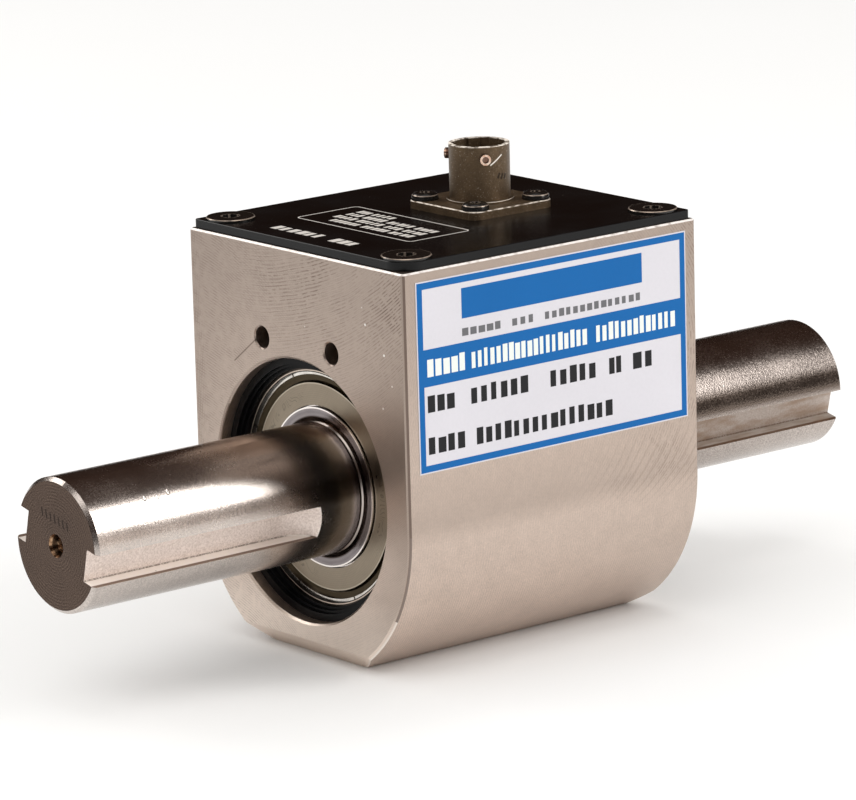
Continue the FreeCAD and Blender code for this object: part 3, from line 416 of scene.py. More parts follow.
def ground_steel(look):
    """The keyed shaft: ground, with milled keyways, turned end faces, painted shade inside the bore and
    other painted light and shade.
    """
    finish, shader = new_finish("ground_steel", metallic=1.0, roughness=0.27)
    where, x, y, z = place_of(shader)
    facing_x = facing_of(shader)[0]
    away = abs(x)
    rise = z - AXIS_HEIGHT
    from_axis = distance_from_axis(y, z)
    end_face = facing_x > 0.9

    # Ground surface: lines round the shaft, and a sparkle that is strongest on the drive end
    round_lines = grain(where, 4 * MM, stretch=(0.018, 1.0, 1.0))
    stipple = grain(where, 0.34 * MM, 2.0)
    clouds = grain(where, 9 * MM)
    drive_end = span(x, 20 * MM, 40 * MM)
    satin = strongest(span(x, -54 * MM, -38 * MM, 0.45, 0.12), drive_end)
    sparkle = (stipple - 0.5) * satin
    shade = round_lines * 0.55 + clouds * 0.45 + sparkle * 2.0
    ground = blend_colours(span(shade, 0.25, 0.75), tinted(look.shaft, 0.72), tinted(look.shaft, 1.18))

    # End faces: dark, with broken turning circles, fine stipple, stamped bars and a centre hole
    rings = ripples(from_axis, 0.6 * MM)
    broken = span(grain(where, 1.8 * MM), 0.42, 0.62)
    turned = rings * (broken * 0.22) + grain(where, 0.2 * MM, 1.0) * 2.2 + clouds * 0.5
    stamped = strongest(*[streak(y, z, *bar, 0.26) for bar in END_BARS]) * (x < 0.0)
    end_colour = blend_colours(span(turned, 0.85, 1.95), (0.03, 0.018, 0.013), (0.195, 0.135, 0.104))
    end_colour = painted(end_colour, (stamped * 0.8, (0.016, 0.01, 0.008)))
    centre = (away > SHAFT_END - 6 * MM) * (from_axis < 2.25 * MM) * (facing_x < 0.9)
    brass = span(grain(where, 0.8 * MM, 2.0), 0.35, 0.65)
    # Painted shade in a ring at the mouth of the centre hole and at its bottom
    mouth = band(from_axis, 1.45 * MM, 1.85 * MM, 0.1 * MM)
    hollow = painted(blend_colours(brass, (0.16, 0.085, 0.045), (0.52, 0.33, 0.2)),
                     (mouth * 0.85, (0.022, 0.013, 0.008)),
                     (from_axis < 0.75 * MM, (0.06, 0.032, 0.018)))

    # Keyways: pale stippled floors, painted light on the walls, a brown line in each corner and along
    # each edge, and painted shade with brown stains on the drive end
    turn = math.radians(KEYWAY_TURN)
    sideways = abs(rise * math.cos(turn) - y * math.sin(turn))
    outwards = abs(rise * math.sin(turn) + y * math.cos(turn))
    slot = (sideways < KEYWAY_HALF + 0.05 * MM) * (from_axis < KEYWAY_REACH) * (away > KEYWAY_START)
    slot = slot * (facing_x < 0.85) * (from_axis > KEYWAY_FLOOR - 0.3 * MM)
    wall = sideways > KEYWAY_HALF - 0.2 * MM
    oily = span(grain(where, 3 * MM, 4.0, stretch=(2.6, 0.7, 0.7)), 0.4, 0.66)
    foot = wall * span(outwards, KEYWAY_FLOOR + 0.35 * MM, KEYWAY_FLOOR + 0.15 * MM)
    foot = foot * span(stipple, 0.36, 0.54, 0.2, 1.0)
    edge = wall * span(outwards, KEYWAY_TOP - 1 * MM, KEYWAY_TOP - 0.8 * MM)
    cut = painted(blend_colours(span(stipple, 0.32, 0.68), (0.66, 0.55, 0.49), (0.9, 0.79, 0.73)),
                  # Painted light on the keyway walls
                  (wall, (1.0, 0.93, 0.87)),
                  # Painted shade over the drive end, then real brown stains
                  (drive_end * 0.55, (0.2, 0.16, 0.13)),
                  (drive_end * (oily * 0.6), (0.26, 0.15, 0.075)),
                  (strongest(foot * 0.7, edge * 0.9), (0.15, 0.075, 0.036)))

    # Painted shade inside the bore and over the drive end, a painted dark reflection in a band just
    # above the axis, a painted highlight near the top, pits, and dents painted bright as glints
    # Painted shade on the shaft inside the bore
    painted_band = span(away, 36.5 * MM, 33.5 * MM) * span(round_lines, 0.35, 0.6)
    plain = (1.0 - slot) * (facing_x < 0.6)
    # Painted shade over the drive end
    painted_drive_end_shade = span(x, 20 * MM, 40 * MM, 0.0, 0.36) * plain
    # Painted dark reflection: a band just above the axis, fading out towards the near free end
    low_side = span(rise, 5.8 * MM, 4 * MM) * span(rise, 0.0, 1.5 * MM)
    film = span(x, -62 * MM, -46 * MM, 0.0, 0.78)
    film = strongest(film, span(x, 30 * MM, 50 * MM, 0.0, 0.7))
    # Painted highlight near the top of the shaft, towards the casing
    painted_top_highlight = span(x, -70 * MM, -52 * MM) * span(rise, 10.5 * MM, 12 * MM) * (x < 0.0)
    pits = specks(where, 5.2 * MM, 0.032)
    # Dents, real in relief, with a bright colour painted in as their glints
    dents_with_painted_glints = strongest(*[dot(x, z, place, size) for place, size in SHAFT_DENTS]) * (y < 0.0)
    colour = painted(ground,
                     (end_face, end_colour),
                     (centre, hollow),
                     (slot, cut),
                     (painted_band * 0.4, (0.28, 0.235, 0.21)),
                     (painted_drive_end_shade, (0.3, 0.24, 0.21)),
                     # Painted dark reflection
                     (film * low_side * plain, (0.13, 0.09, 0.066)),
                     (painted_top_highlight * plain, (1.0, 0.8, 0.66)),
                     (pits * 0.7, (0.16, 0.12, 0.1)),
                     (dents_with_painted_glints, (1.0, 0.95, 0.9)))
    feed(shader.inputs["Metallic"], span(slot, 0.0, 1.0, 1.0, 0.4))
    gloss = span(clouds, 0.3, 0.7, look.shaft_gloss, look.shaft_gloss + 0.06)
    gloss = gloss + sparkle * 0.22 + end_face * 0.2 + slot * 0.25
    height = round_lines * 0.4 + stipple * satin * 4.4 - pits * 2.0 - dents_with_painted_glints * 6.0
    return dress(finish, shader, colour, gloss, height + rings * (end_face * 0.1), 0.006 * MM)


def turned_steel(name, colour, gloss, pitch=0.4 * MM, brushed=0.0, painted_hoops=(), stamped=()):
    """A ring turned about the shaft's axis: fine circles, brushing, painted bands of shade and
    highlight, stamped strokes.
    """
    finish, shader = new_finish(name, metallic=1.0, roughness=gloss)
    where, x, y, z = place_of(shader)
    from_axis = distance_from_axis(y, z)
    circles = ripples(from_axis + x + grain(where, 3 * MM, 1.0) * (0.3 * MM), pitch)
    slant = made(shader.id_data, "ShaderNodeMapping", {"Vector": where, "Rotation": (0.9, 0.0, 0.0)})
    brushing = grain(slant, 6 * MM, stretch=(1.0, 1.0, 0.045))
    clouds = grain(where, 5 * MM, 2.0)
    shade = circles * 0.16 + clouds + brushing * brushed
    body = blend_colours(span(shade, 0.25, 0.85 + brushed), tinted(colour, 0.78), tinted(colour, 1.12))
    body = painted(body, *[(band(from_axis, low, high, 0.06 * MM), hoop) for low, high, hoop in painted_hoops])
    angle = calc("ARCTAN2", y, z - AXIS_HEIGHT)
    strokes = ripples(angle + clouds, 0.075) > 0.8
    strokes = strokes * band(from_axis, STAMP_LOW, STAMP_HIGH, 0.05 * MM)
    for first, last in stamped:
        arc = strokes * band(angle, math.radians(first), math.radians(last), 0.01)
        body = painted(body, (arc * 0.35, (0.06, 0.05, 0.035)))
    height = circles + brushing * (2.0 * brushed)
    return dress(finish, shader, body, span(clouds, 0.3, 0.7, gloss, gloss + 0.1), height, 0.003 * MM)


def coated_metal(name, colour, gloss, fleck, sheen=0.5):
    """Black anodised or oxide-black metal with a fine tooth, a little dust and painted shade on its
    upright sides.
    """
    finish, shader = new_finish(name, roughness=gloss, sheen=sheen)
    where = place_of(shader)[0]
    clouds = grain(where, 11 * MM)
    faded = tuple(channel * 1.7 + 0.004 for channel in colour)
    # Painted shade on the upright sides
    upright = span(facing_of(shader)[2], 0.8, 0.2)
    body = painted(blend_colours(span(clouds, 0.35, 0.7), colour, faded),
                   (upright * 0.55, (0.0, 0.0, 0.0006)),
                   (specks(where, 3.4 * MM, 0.03) * fleck, (0.36, 0.3, 0.25)))
    tooth = grain(where, 0.22 * MM, 2.0)
    return dress(finish, shader, body, span(clouds, 0.3, 0.7, gloss, gloss + 0.1), tooth, 0.0035 * MM)


def capped_black(name, middle_x, half_x, half_y, head, socket):
    """Black screws at the corners of a rectangle, with painted highlights round their heads and
    sockets.
    """
    finish, shader = new_finish(name, roughness=0.26)
    where, x, y = place_of(shader)[:3]
    reach = distance(abs(x - middle_x) - half_x, abs(y) - half_y)
    patchy = span(grain(where, 1.6 * MM, 2.0), 0.34, 0.58, 0.25, 1.0)
    # Painted highlight round the edge of each head's top, and a painted glint round each socket, broken
    # up in patches
    painted_band = band(reach, head - 0.1 * MM, head + 0.2 * MM, 0.05 * MM) * (facing_of(shader)[2] > 0.5)
    glint = band(reach, socket - 0.04 * MM, socket + 0.04 * MM, 0.04 * MM)
    # All painted highlight and glint
    bare = strongest(painted_band, glint) * patchy
    tooth = grain(where, 0.22 * MM, 2.0)
    black = blend_colours(span(tooth, 0.3, 0.7), (0.006, 0.0055, 0.005), (0.016, 0.014, 0.012))
    feed(shader.inputs["Metallic"], bare * 0.7)
    return dress(finish, shader, painted(black, (bare, (0.62, 0.5, 0.41))), 0.26, tooth, 0.0035 * MM)


def plated_shell(look):
    """Olive plated connector body, with painted highlights broken up along its edges, and with specks
    and a scratch.
    """
    finish, shader = new_finish("olive_plating", metallic=0.6, roughness=0.42)
    where, x, y, z = place_of(shader)
    tooth = grain(where, 0.26 * MM)
    clouds = grain(where, 2.2 * MM)
    shade = tooth * 0.5 + clouds * 0.5
    reach = distance(x - BARREL_X, y)
    # Painted highlight lines, broken up in patches: along the barrel's top edge, at its foot and on the
    # flange's edge
    highlight_breaks = span(grain(where, 1.1 * MM, 2.0), 0.36, 0.52, 0.15, 1.0)
    painted_rim_highlight = (z > RIM_HEIGHT - 0.14 * MM) * highlight_breaks
    foot = band(z, FLANGE_TOP + 0.34 * MM, FLANGE_TOP + 0.42 * MM, 0.05 * MM) * (reach < 6.6 * MM)
    slope = band(facing_of(shader)[2], 0.4, 0.9, 0.05) * (reach > 8 * MM) * highlight_breaks * 0.7
    # The painted highlight lines, joined by a few light specks of the plating
    bare = strongest(painted_rim_highlight, foot, slope, span(tooth, 0.64, 0.74, 0.0, 0.45))
    bare = bare * span(clouds, 0.3, 0.52, 0.45, 1.0)
    front = y < 0.0
    scratch = streak(x, z, *BARREL_SCRATCH, 0.17) * front
    stained = strongest(*[streak(x, z, *bar, 0.3) for bar in BARREL_BARS]) * front * 0.85
    plating = blend_colours(span(shade, 0.38, 0.62), tinted(look.connector, 0.6), look.connector)
    colour = painted(plating,
                     (bare, (0.95, 0.86, 0.76)),
                     (scratch, (1.0, 0.93, 0.85)),
                     (stained, (0.018, 0.012, 0.008)))
    feed(shader.inputs["Metallic"], span(strongest(bare, scratch), 0.0, 1.0, 0.6, 0.1))
    return dress(finish, shader, colour, span(clouds, 0.3, 0.7, 0.36, 0.5), shade, 0.02 * MM)


def cupped_copper():
    """Copper pins, bright on their rims, with painted shade in the cups of their ends."""
    finish, shader = new_finish("copper", metallic=1.0, roughness=0.28)
    where, x, y = place_of(shader)[:3]
    # Painted shade in the cup at each pin's end
    cup = span(distance(x - BARREL_X, y), CUP_REACH, CUP_REACH - 0.1 * MM)
    clouds = grain(where, 0.9 * MM, 2.0)
    copper = blend_colours(span(clouds, 0.35, 0.65), (0.7, 0.38, 0.25), (1.0, 0.8, 0.66))
    copper = painted(copper, (cup * 0.85, (0.1, 0.045, 0.03)))
    return dress(finish, shader, copper, 0.28, clouds, 0.01 * MM)


def bright_metal(name, colour, gloss, depth=0.003 * MM):
    """Plated, rolled or polished metal with a slight cloud of tarnish."""
    finish, shader = new_finish(name, metallic=1.0, roughness=gloss)
    where = place_of(shader)[0]
    tooth = grain(where, 0.4 * MM, 2.0)
    body = blend_colours(span(grain(where, 2 * MM), 0.35, 0.68), tinted(colour, 0.74), colour)
    return dress(finish, shader, body, span(tooth, 0.3, 0.7, gloss, gloss + 0.08), tooth, depth)


def moulded_plastic(name, colour, gloss, sheen=0.5):
    """Moulded plastic, laminate, film or insulation with a faint mottle and tooth."""
    finish, shader = new_finish(name, roughness=gloss, sheen=sheen)
    where = place_of(shader)[0]
    tooth = grain(where, 0.3 * MM, 2.0)
    body = blend_colours(span(grain(where, 2.2 * MM), 0.35, 0.68), tinted(colour, 0.82), colour)
    satin = span(tooth, 0.3, 0.7, gloss - 0.05, gloss + 0.08)
    return dress(finish, shader, body, satin, tooth, 0.01 * MM)


def printed_sheet(name, colour, gloss=0.34, sheen=0.4):
    """Printed label sheet or ink: even colour with a faint mottle and a satin face."""
    finish, shader = new_finish(name, roughness=gloss, sheen=sheen)
    where = place_of(shader)[0]
    mottle = grain(where, 0.7 * MM, 2.0)
    shade = mottle * 0.35 + grain(where, 20 * MM, 2.0) * 0.65
    body = blend_colours(span(shade, 0.35, 0.65), tinted(colour, 0.95), colour)
    return dress(finish, shader, body, span(mottle, 0.3, 0.7, gloss, gloss + 0.06), mottle, 0.002 * MM)


def wear(finish, *names):
    """Gives a finish to CAD nodes."""
    for name in names:
        mesh = NODES[name].data
        mesh.materials.clear()
        mesh.materials.append(finish)


# Print, made of thin ink shapes

def blocks_tree():
    """The Geometry Nodes tree of one run of letter blocks, with random widths and heights."""
    tree = bpy.data.node_groups.new("letter_blocks", "GeometryNodeTree")
    tree.is_modifier = True
    for name, kind in (("Letters", "Int"), ("Letter pitch", "Float"), ("Letter height", "Float"),
                       ("Ink thickness", "Float"), ("Seed", "Int")):
        tree.interface.new_socket(name=name, in_out="INPUT", socket_type="NodeSocket" + kind)
    tree.interface.new_socket(name="Blocks", in_out="OUTPUT", socket_type="NodeSocketGeometry")
    given = put(tree, "NodeGroupInput").outputs
    step = made(tree, "ShaderNodeCombineXYZ", {0: given["Letter pitch"]})
    row = {"Count": given["Letters"], "Offset": step}
    line = made(tree, "GeometryNodeMeshLine", row, mode="OFFSET")
    shares = []
    for low, high, seed in ((0.5, 0.8, given["Seed"]), (0.86, 1.0, Field(given["Seed"]) + 7.0)):
        share = put(tree, "FunctionNodeRandomValue", {2: low, 3: high, "Seed": seed}, data_type="FLOAT")
        shares.append(Field(share.outputs[1]))
    wide = shares[0] * given["Letter pitch"]
    tall = shares[1] * given["Letter height"]
    scale = made(tree, "ShaderNodeCombineXYZ", {0: wide, 1: tall, 2: given["Ink thickness"]})
    lift = made(tree, "ShaderNodeCombineXYZ", {0: 0.5, 1: 0.5, 2: 0.5})
    block = made(tree, "GeometryNodeMeshCube", {"Size": (1.0, 1.0, 1.0)})
    block = made(tree, "GeometryNodeTransform", {"Geometry": block, "Translation": lift})
    placed = {"Points": line, "Instance": block, "Scale": scale}
    laid = made(tree, "GeometryNodeInstanceOnPoints", placed)
    put(tree, "NodeGroupOutput", {0: made(tree, "GeometryNodeRealizeInstances", {0: laid})})
    return tree


def letter_run(tree, word, thickness, seed):
    """The plain mesh of one word: as many blocks as letters, from its start to its end, on its foot."""
    start, foot, end, height, letters = word
    values = {"Letters": letters, "Letter pitch": (end - start) / letters, "Letter height": height,
              "Ink thickness": thickness, "Seed": seed}
    carrier = bpy.data.objects.new("word", bpy.data.meshes.new("word"))
    bpy.context.scene.collection.objects.link(carrier)
    modifier = carrier.modifiers.new("make", "NODES")
    modifier.node_group = tree
    for item in tree.interface.items_tree:
        if item.in_out == "INPUT":
            modifier[item.identifier] = values[item.name]
    bpy.context.view_layer.update()
    evaluated = carrier.evaluated_get(bpy.context.evaluated_depsgraph_get())
    mesh = bpy.data.meshes.new_from_object(evaluated)
    bpy.data.objects.remove(carrier)
    mesh.transform(Matrix.Translation((start, foot, 0.0)))
    return mesh


def framed_panel(form, low, high, width, thickness, corner=0.0):
    """Adds a thin flat frame to a bmesh: a rectangle with a smaller one cut out of it."""
    loops = []
    for inset, radius in ((0.0, corner), (width, max(corner - width, 0.0))):
        left = low[0] + inset
        foot = low[1] + inset
        loops.append(rounded_outline(left, foot, high[0] - inset, high[1] - inset, radius))
    rings = []
    for height in (0.0, thickness):
        rings.append([[form.verts.new((px, py, height)) for px, py in loop] for loop in loops])
    (outer_low, inner_low), (outer_top, inner_top) = rings
    strips = ((outer_top, inner_top), (inner_low, outer_low),
              (outer_low, outer_top), (inner_top, inner_low))
    count = len(outer_low)
    for i in range(count):
        j = (i + 1) % count
        for first, second in strips:
            form.faces.new((first[i], first[j], second[j], second[i]))


def rounded_outline(left, low, right, high, radius, steps=5):
    """The corner points of a rectangle, anticlockwise, with its corners rounded."""
    points = []
    reach = max(radius, 1e-6)
    for cx, cy, start in ((right - radius, low + radius, -90), (right - radius, high - radius, 0),
                          (left + radius, high - radius, 90), (left + radius, low + radius, 180)):
        for k in range(steps + 1):
            turn = math.radians(start + 90 * k / steps)
            points.append((cx + reach * math.cos(turn), cy + reach * math.sin(turn)))
    return points


def solid_panel(form, low, high, thickness):
    """Adds a thin filled rectangle to a bmesh."""
    corners = bmesh.ops.create_cube(form, size=1.0)["verts"]
    size = Vector((high[0] - low[0], high[1] - low[1], thickness))
    middle = Vector(((high[0] + low[0]) / 2, (high[1] + low[1]) / 2, thickness / 2))
    for vertex in corners:
        vertex.co = Vector(a * b for a, b in zip(vertex.co, size)) + middle


def ink_piece(name, meshes, form, turned, finish):
    """Joins ink shapes into one piece, lays it in place and lets it ride on the casing."""
    for mesh in meshes:
        form.from_mesh(mesh)
        bpy.data.meshes.remove(mesh)
    mesh = bpy.data.meshes.new(name)
    bmesh.ops.recalc_face_normals(form, faces=form.faces)
    form.to_mesh(mesh)
    form.free()
    mesh.transform(turned)
    mesh.materials.append(finish)
    piece = bpy.data.objects.new(name, mesh)
    bpy.context.scene.collection.objects.link(piece)
    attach(piece, "housing_body")


def on_label():
    """Turns flat print onto the label: right is +X, up is +Z, and it stands proud towards -Y."""
    return Matrix(((1, 0, 0, 0), (0, 0, -1, LABEL_LOW.y), (0, 1, 0, 0), (0, 0, 0, 1)))


def on_plate():
    """Turns flat print onto the cover: right is -Y, up is +X, and it stands proud towards +Z."""
    return Matrix(((0, 1, 0, 0), (-1, 0, 0, 0), (0, 0, 1, PLATE_HIGH.z), (0, 0, 0, 1)))


# Settings that a user would change

class FinishSettings(bpy.types.PropertyGroup):
    """Colours and gloss of the main finishes."""
    casing: bpy.props.FloatVectorProperty(
        name="Casing", description="Colour of the milled block", subtype="COLOR",
        default=(0.66, 0.542, 0.466), min=0.0, max=1.0)
    casing_gloss: bpy.props.FloatProperty(
        name="Casing roughness", description="Lowest roughness of the milled block", default=0.34,
        min=0.05, max=0.8)
    mark_pitch: bpy.props.FloatProperty(
        name="Cutter mark pitch", description="Distance between the cutter's coarse arcs",
        default=0.95 * MM, unit="LENGTH", min=0.1 * MM, max=5 * MM)
    shaft: bpy.props.FloatVectorProperty(
        name="Shaft", description="Colour of the ground shaft", subtype="COLOR",
        default=(0.6, 0.54, 0.5), min=0.0, max=1.0)
    shaft_gloss: bpy.props.FloatProperty(
        name="Shaft roughness", description="Lowest roughness of the ground shaft", default=0.22,
        min=0.05, max=0.8)
    connector: bpy.props.FloatVectorProperty(
        name="Connector", description="Colour of the plated connector", subtype="COLOR",
        default=(0.178, 0.118, 0.066), min=0.0, max=1.0)
    plate: bpy.props.FloatVectorProperty(
        name="Cover", description="Colour of the anodised cover", subtype="COLOR",
        default=(0.0032, 0.0032, 0.0036), min=0.0, max=1.0)
    sheet: bpy.props.FloatVectorProperty(
        name="Label sheet", description="Colour of the bare label sheet", subtype="COLOR",
        default=(0.66, 0.645, 0.69), min=0.0, max=1.0)
    blue: bpy.props.FloatVectorProperty(
        name="Label blue", description="Colour of the label's border and band", subtype="COLOR",
        default=(0.004, 0.122, 0.385), min=0.0, max=1.0)


class PrintSettings(bpy.types.PropertyGroup):
    """Sizes of the printed marks."""
    ink: bpy.props.FloatProperty(
        name="Ink thickness", description="How far the ink stands off its ground",
        default=0.02 * MM, unit="LENGTH", min=0.005 * MM, max=0.2 * MM)
    margin: bpy.props.FloatProperty(
        name="Label margin", description="White edge outside the blue border",
        default=0.25 * MM, unit="LENGTH", min=0.0, max=2 * MM)
    border: bpy.props.FloatProperty(
        name="Label border", description="Width of the blue border",
        default=1.25 * MM, unit="LENGTH", min=0.2 * MM, max=4 * MM)
    band_low: bpy.props.FloatProperty(
        name="Band foot", description="Height of the blue band's lower edge",
        default=56.7 * MM, unit="LENGTH")
    band_high: bpy.props.FloatProperty(
        name="Band top", description="Height of the blue band's upper edge",
        default=63.7 * MM, unit="LENGTH")
    panel_line: bpy.props.FloatProperty(
        name="Cover panel line", description="Width of the line round the cover's printed panel",
        default=0.28 * MM, unit="LENGTH", min=0.05 * MM, max=1 * MM)


class StageSettings(bpy.types.PropertyGroup):
    """The floor and the lights."""
    floor_reach: bpy.props.FloatProperty(
        name="Floor reach", description="Half the width of the floor", default=4.0, unit="LENGTH",
        min=0.5, max=20.0)
    key_power: bpy.props.FloatProperty(
        name="Key light", description="Power of the softbox on the right", default=2.4,
        unit="POWER", min=0.0)
    low_power: bpy.props.FloatProperty(
        name="Low light", description="Power of the softbox under the key light", default=0.38,
        unit="POWER", min=0.0)
    top_power: bpy.props.FloatProperty(
        name="Top light", description="Power of the softbox overhead", default=2.5,
        unit="POWER", min=0.0)
    rim_power: bpy.props.FloatProperty(
        name="Back light", description="Power of the softbox behind", default=3.0,
        unit="POWER", min=0.0)
    left_power: bpy.props.FloatProperty(
        name="Left light", description="Power of the softbox over the near shaft", default=2.1,
        unit="POWER", min=0.0)


# One operator for each group of pieces

class SENSOR_OT_finish_casing(bpy.types.Operator):
    """Gives the block, its cover and the cover's screws their finishes"""
    bl_idname = "sensor.finish_casing"
    bl_label = "Finish casing"

    def execute(self, context):
        look = context.scene.sensor_finish
        wear(milled_steel(look), "housing")
        wear(coated_metal("black_anodising", look.plate, 0.17, fleck=0.4, sheen=0.22), "top_cover")
        wear(capped_black("oxide_black", 0.0, **COVER_SCREWS), "cover_screws")
        wear(capped_black("oxide_black_small", BARREL_X, **SHELL_SCREWS), "connector_screws")
        inside = coated_metal("oxide_black_inside", (0.014, 0.013, 0.012), 0.24, fleck=0.15)
        wear(inside, "brush_block_screws")
        wear(printed_sheet("label_sheet", look.sheet), "side_label")
        return {"FINISHED"}


class SENSOR_OT_finish_shaft(bpy.types.Operator):
    """Gives the keyed shaft its ground finish"""
    bl_idname = "sensor.finish_shaft"
    bl_label = "Finish shaft"

    def execute(self, context):
        wear(ground_steel(context.scene.sensor_finish), "shaft")
        return {"FINISHED"}


class SENSOR_OT_finish_bearings(bpy.types.Operator):
    """Gives both ball bearings, their shields, wires and retaining rings their finishes"""
    bl_idname = "sensor.finish_bearings"
    bl_label = "Finish bearings"

    def execute(self, context):
        # Outer ring: painted shade next to the wire, and a painted highlight line just outside it
        edge = ((WIRE_SEAT, WIRE_SEAT + 0.1 * MM, (0.012, 0.01, 0.008)),
                (WIRE_SEAT + 0.22 * MM, WIRE_SEAT + 0.36 * MM, (0.62, 0.52, 0.44)))
        # Shield: painted shade over its sunken outer part, and a painted highlight line on its step
        gutter = ((SHIELD_STEP + 0.05 * MM, WIRE_SEAT, (0.06, 0.045, 0.026)),
                  (SHIELD_STEP - 0.2 * MM, SHIELD_STEP - 0.04 * MM, (0.5, 0.44, 0.35)))
        outer = turned_steel("bearing_steel", (0.06, 0.048, 0.04), 0.26, painted_hoops=edge)
        # Inner ring: a painted highlight on its lip, and painted shade towards its bore
        lip = ((INNER_LIP - 0.26 * MM, INNER_LIP + 0.1 * MM, (0.92, 0.86, 0.82)),
               (0.0, INNER_LIP - 1.7 * MM, (0.075, 0.058, 0.052)))
        inner = turned_steel("inner_ring_steel", (0.25, 0.222, 0.225), 0.17, pitch=0.9 * MM, painted_hoops=lip)
        shield = turned_steel("shield_steel", (0.3, 0.25, 0.19), 0.27, brushed=0.9, painted_hoops=gutter,
                              stamped=((18.0, 62.0), (-112.0, -72.0), (150.0, 172.0)))
        wire = bright_metal("bright_wire", (0.78, 0.74, 0.69), 0.16)
        black = coated_metal("ring_black", (0.0026, 0.0026, 0.003), 0.32, fleck=0.1, sheen=0.12)
        balls = bright_metal("polished_balls", (0.8, 0.8, 0.82), 0.06, depth=0.001 * MM)
        cage = moulded_plastic("cage_plastic", (0.8, 0.74, 0.58), 0.45)
        finishes = {"outer_ring": outer, "inner_ring": inner, "shields": shield, "snap_wires": wire,
                    "retaining_ring": black, "balls": balls, "ball_cage": cage}
        for name, finish in finishes.items():
            wear(finish, "active_" + name, "drive_" + name)
        wear(turned_steel("spring_steel", (0.5, 0.5, 0.5), 0.3), "wave_spring")
        return {"FINISHED"}


class SENSOR_OT_finish_connector(bpy.types.Operator):
    """Gives the bayonet connector's shell, insert, contacts and pins their finishes"""
    bl_idname = "sensor.finish_connector"
    bl_label = "Finish connector"

    def execute(self, context):
        look = context.scene.sensor_finish
        wear(plated_shell(look), "connector_shell")
        wear(moulded_plastic("insert_plastic", (0.04, 0.05, 0.05), 0.5), "connector_insert")
        wear(bright_metal("gold_plate", (0.85, 0.62, 0.26), 0.2), "connector_contacts")
        wear(cupped_copper(), "connector_bayonet_pins")
        return {"FINISHED"}


class SENSOR_OT_finish_inside(bpy.types.Operator):
    """Gives the slip rings, brushes, gauges and wiring inside the casing their finishes"""
    bl_idname = "sensor.finish_inside"
    bl_label = "Finish inside"

    def execute(self, context):
        wear(moulded_plastic("sleeve_plastic", (0.45, 0.22, 0.1), 0.4), "slip_ring_sleeve")
        wear(bright_metal("ring_silver", (0.86, 0.84, 0.8), 0.14), "slip_rings")
        wear(moulded_plastic("gauge_film", (0.75, 0.45, 0.12), 0.28), "strain_gauges")
        wear(moulded_plastic("block_plastic", (0.1, 0.09, 0.08), 0.48), "brush_block")
        wear(moulded_plastic("brush_carbon", (0.1, 0.1, 0.11), 0.5, sheen=0.7), "brushes")
        wear(bright_metal("leaf_copper", (0.82, 0.55, 0.32), 0.24), "brush_springs")
        wear(moulded_plastic("board_laminate", (0.1, 0.3, 0.12), 0.42), "terminal_board")
        wear(moulded_plastic("lead_insulation", (0.6, 0.1, 0.08), 0.5), "lead_wires")
        return {"FINISHED"}


class SENSOR_OT_print_cover(bpy.types.Operator):
    """Prints a lined panel of plain bars and one row of marks on the cover"""
    bl_idname = "sensor.print_cover"
    bl_label = "Print cover"

    def execute(self, context):
        sizes = context.scene.sensor_print
        tree = blocks_tree()
        ink = printed_sheet("warm_white_ink", (0.6, 0.56, 0.52), 0.5)
        # The panel's box and its rows of words on the cover: right is -Y, up is +X
        panel_low = (-18 * MM, -21.2 * MM)
        panel_high = (16.3 * MM, -6.2 * MM)
        rows = ((-13.4, -10.1, ((0.0, 3.6, 3), (4.4, 10.8, 4))),
                (-13.2, -12.9, ((0.0, 4.2, 3), (5.0, 11.2, 4), (12.2, 19.4, 5), (20.4, 26.4, 4))),
                (-13.4, -15.8, ((0.0, 6.0, 4), (6.8, 14.0, 5), (15.2, 19.6, 3), (20.6, 26.6, 4))),
                (-11.0, -18.7, ((0.0, 8.4, 6), (9.4, 16.8, 5), (17.6, 24.4, 4))))
        height = 2 * MM
        words = []
        for start, foot, spans in rows:
            for low, high, letters in spans:
                words.append(((start + low) * MM, foot * MM, (start + high) * MM, height, letters))
        words.append((-13.65 * MM, -30.7 * MM, 1.1 * MM, 2.75 * MM, 6))
        words.append((4.1 * MM, -31 * MM, 11.5 * MM, 2.85 * MM, 3))
        form = bmesh.new()
        framed_panel(form, panel_low, panel_high, sizes.panel_line, sizes.ink, corner=1.2 * MM)
        meshes = [letter_run(tree, word, sizes.ink, seed) for seed, word in enumerate(words)]
        ink_piece("cover_print", meshes, form, on_plate(), ink)
        return {"FINISHED"}


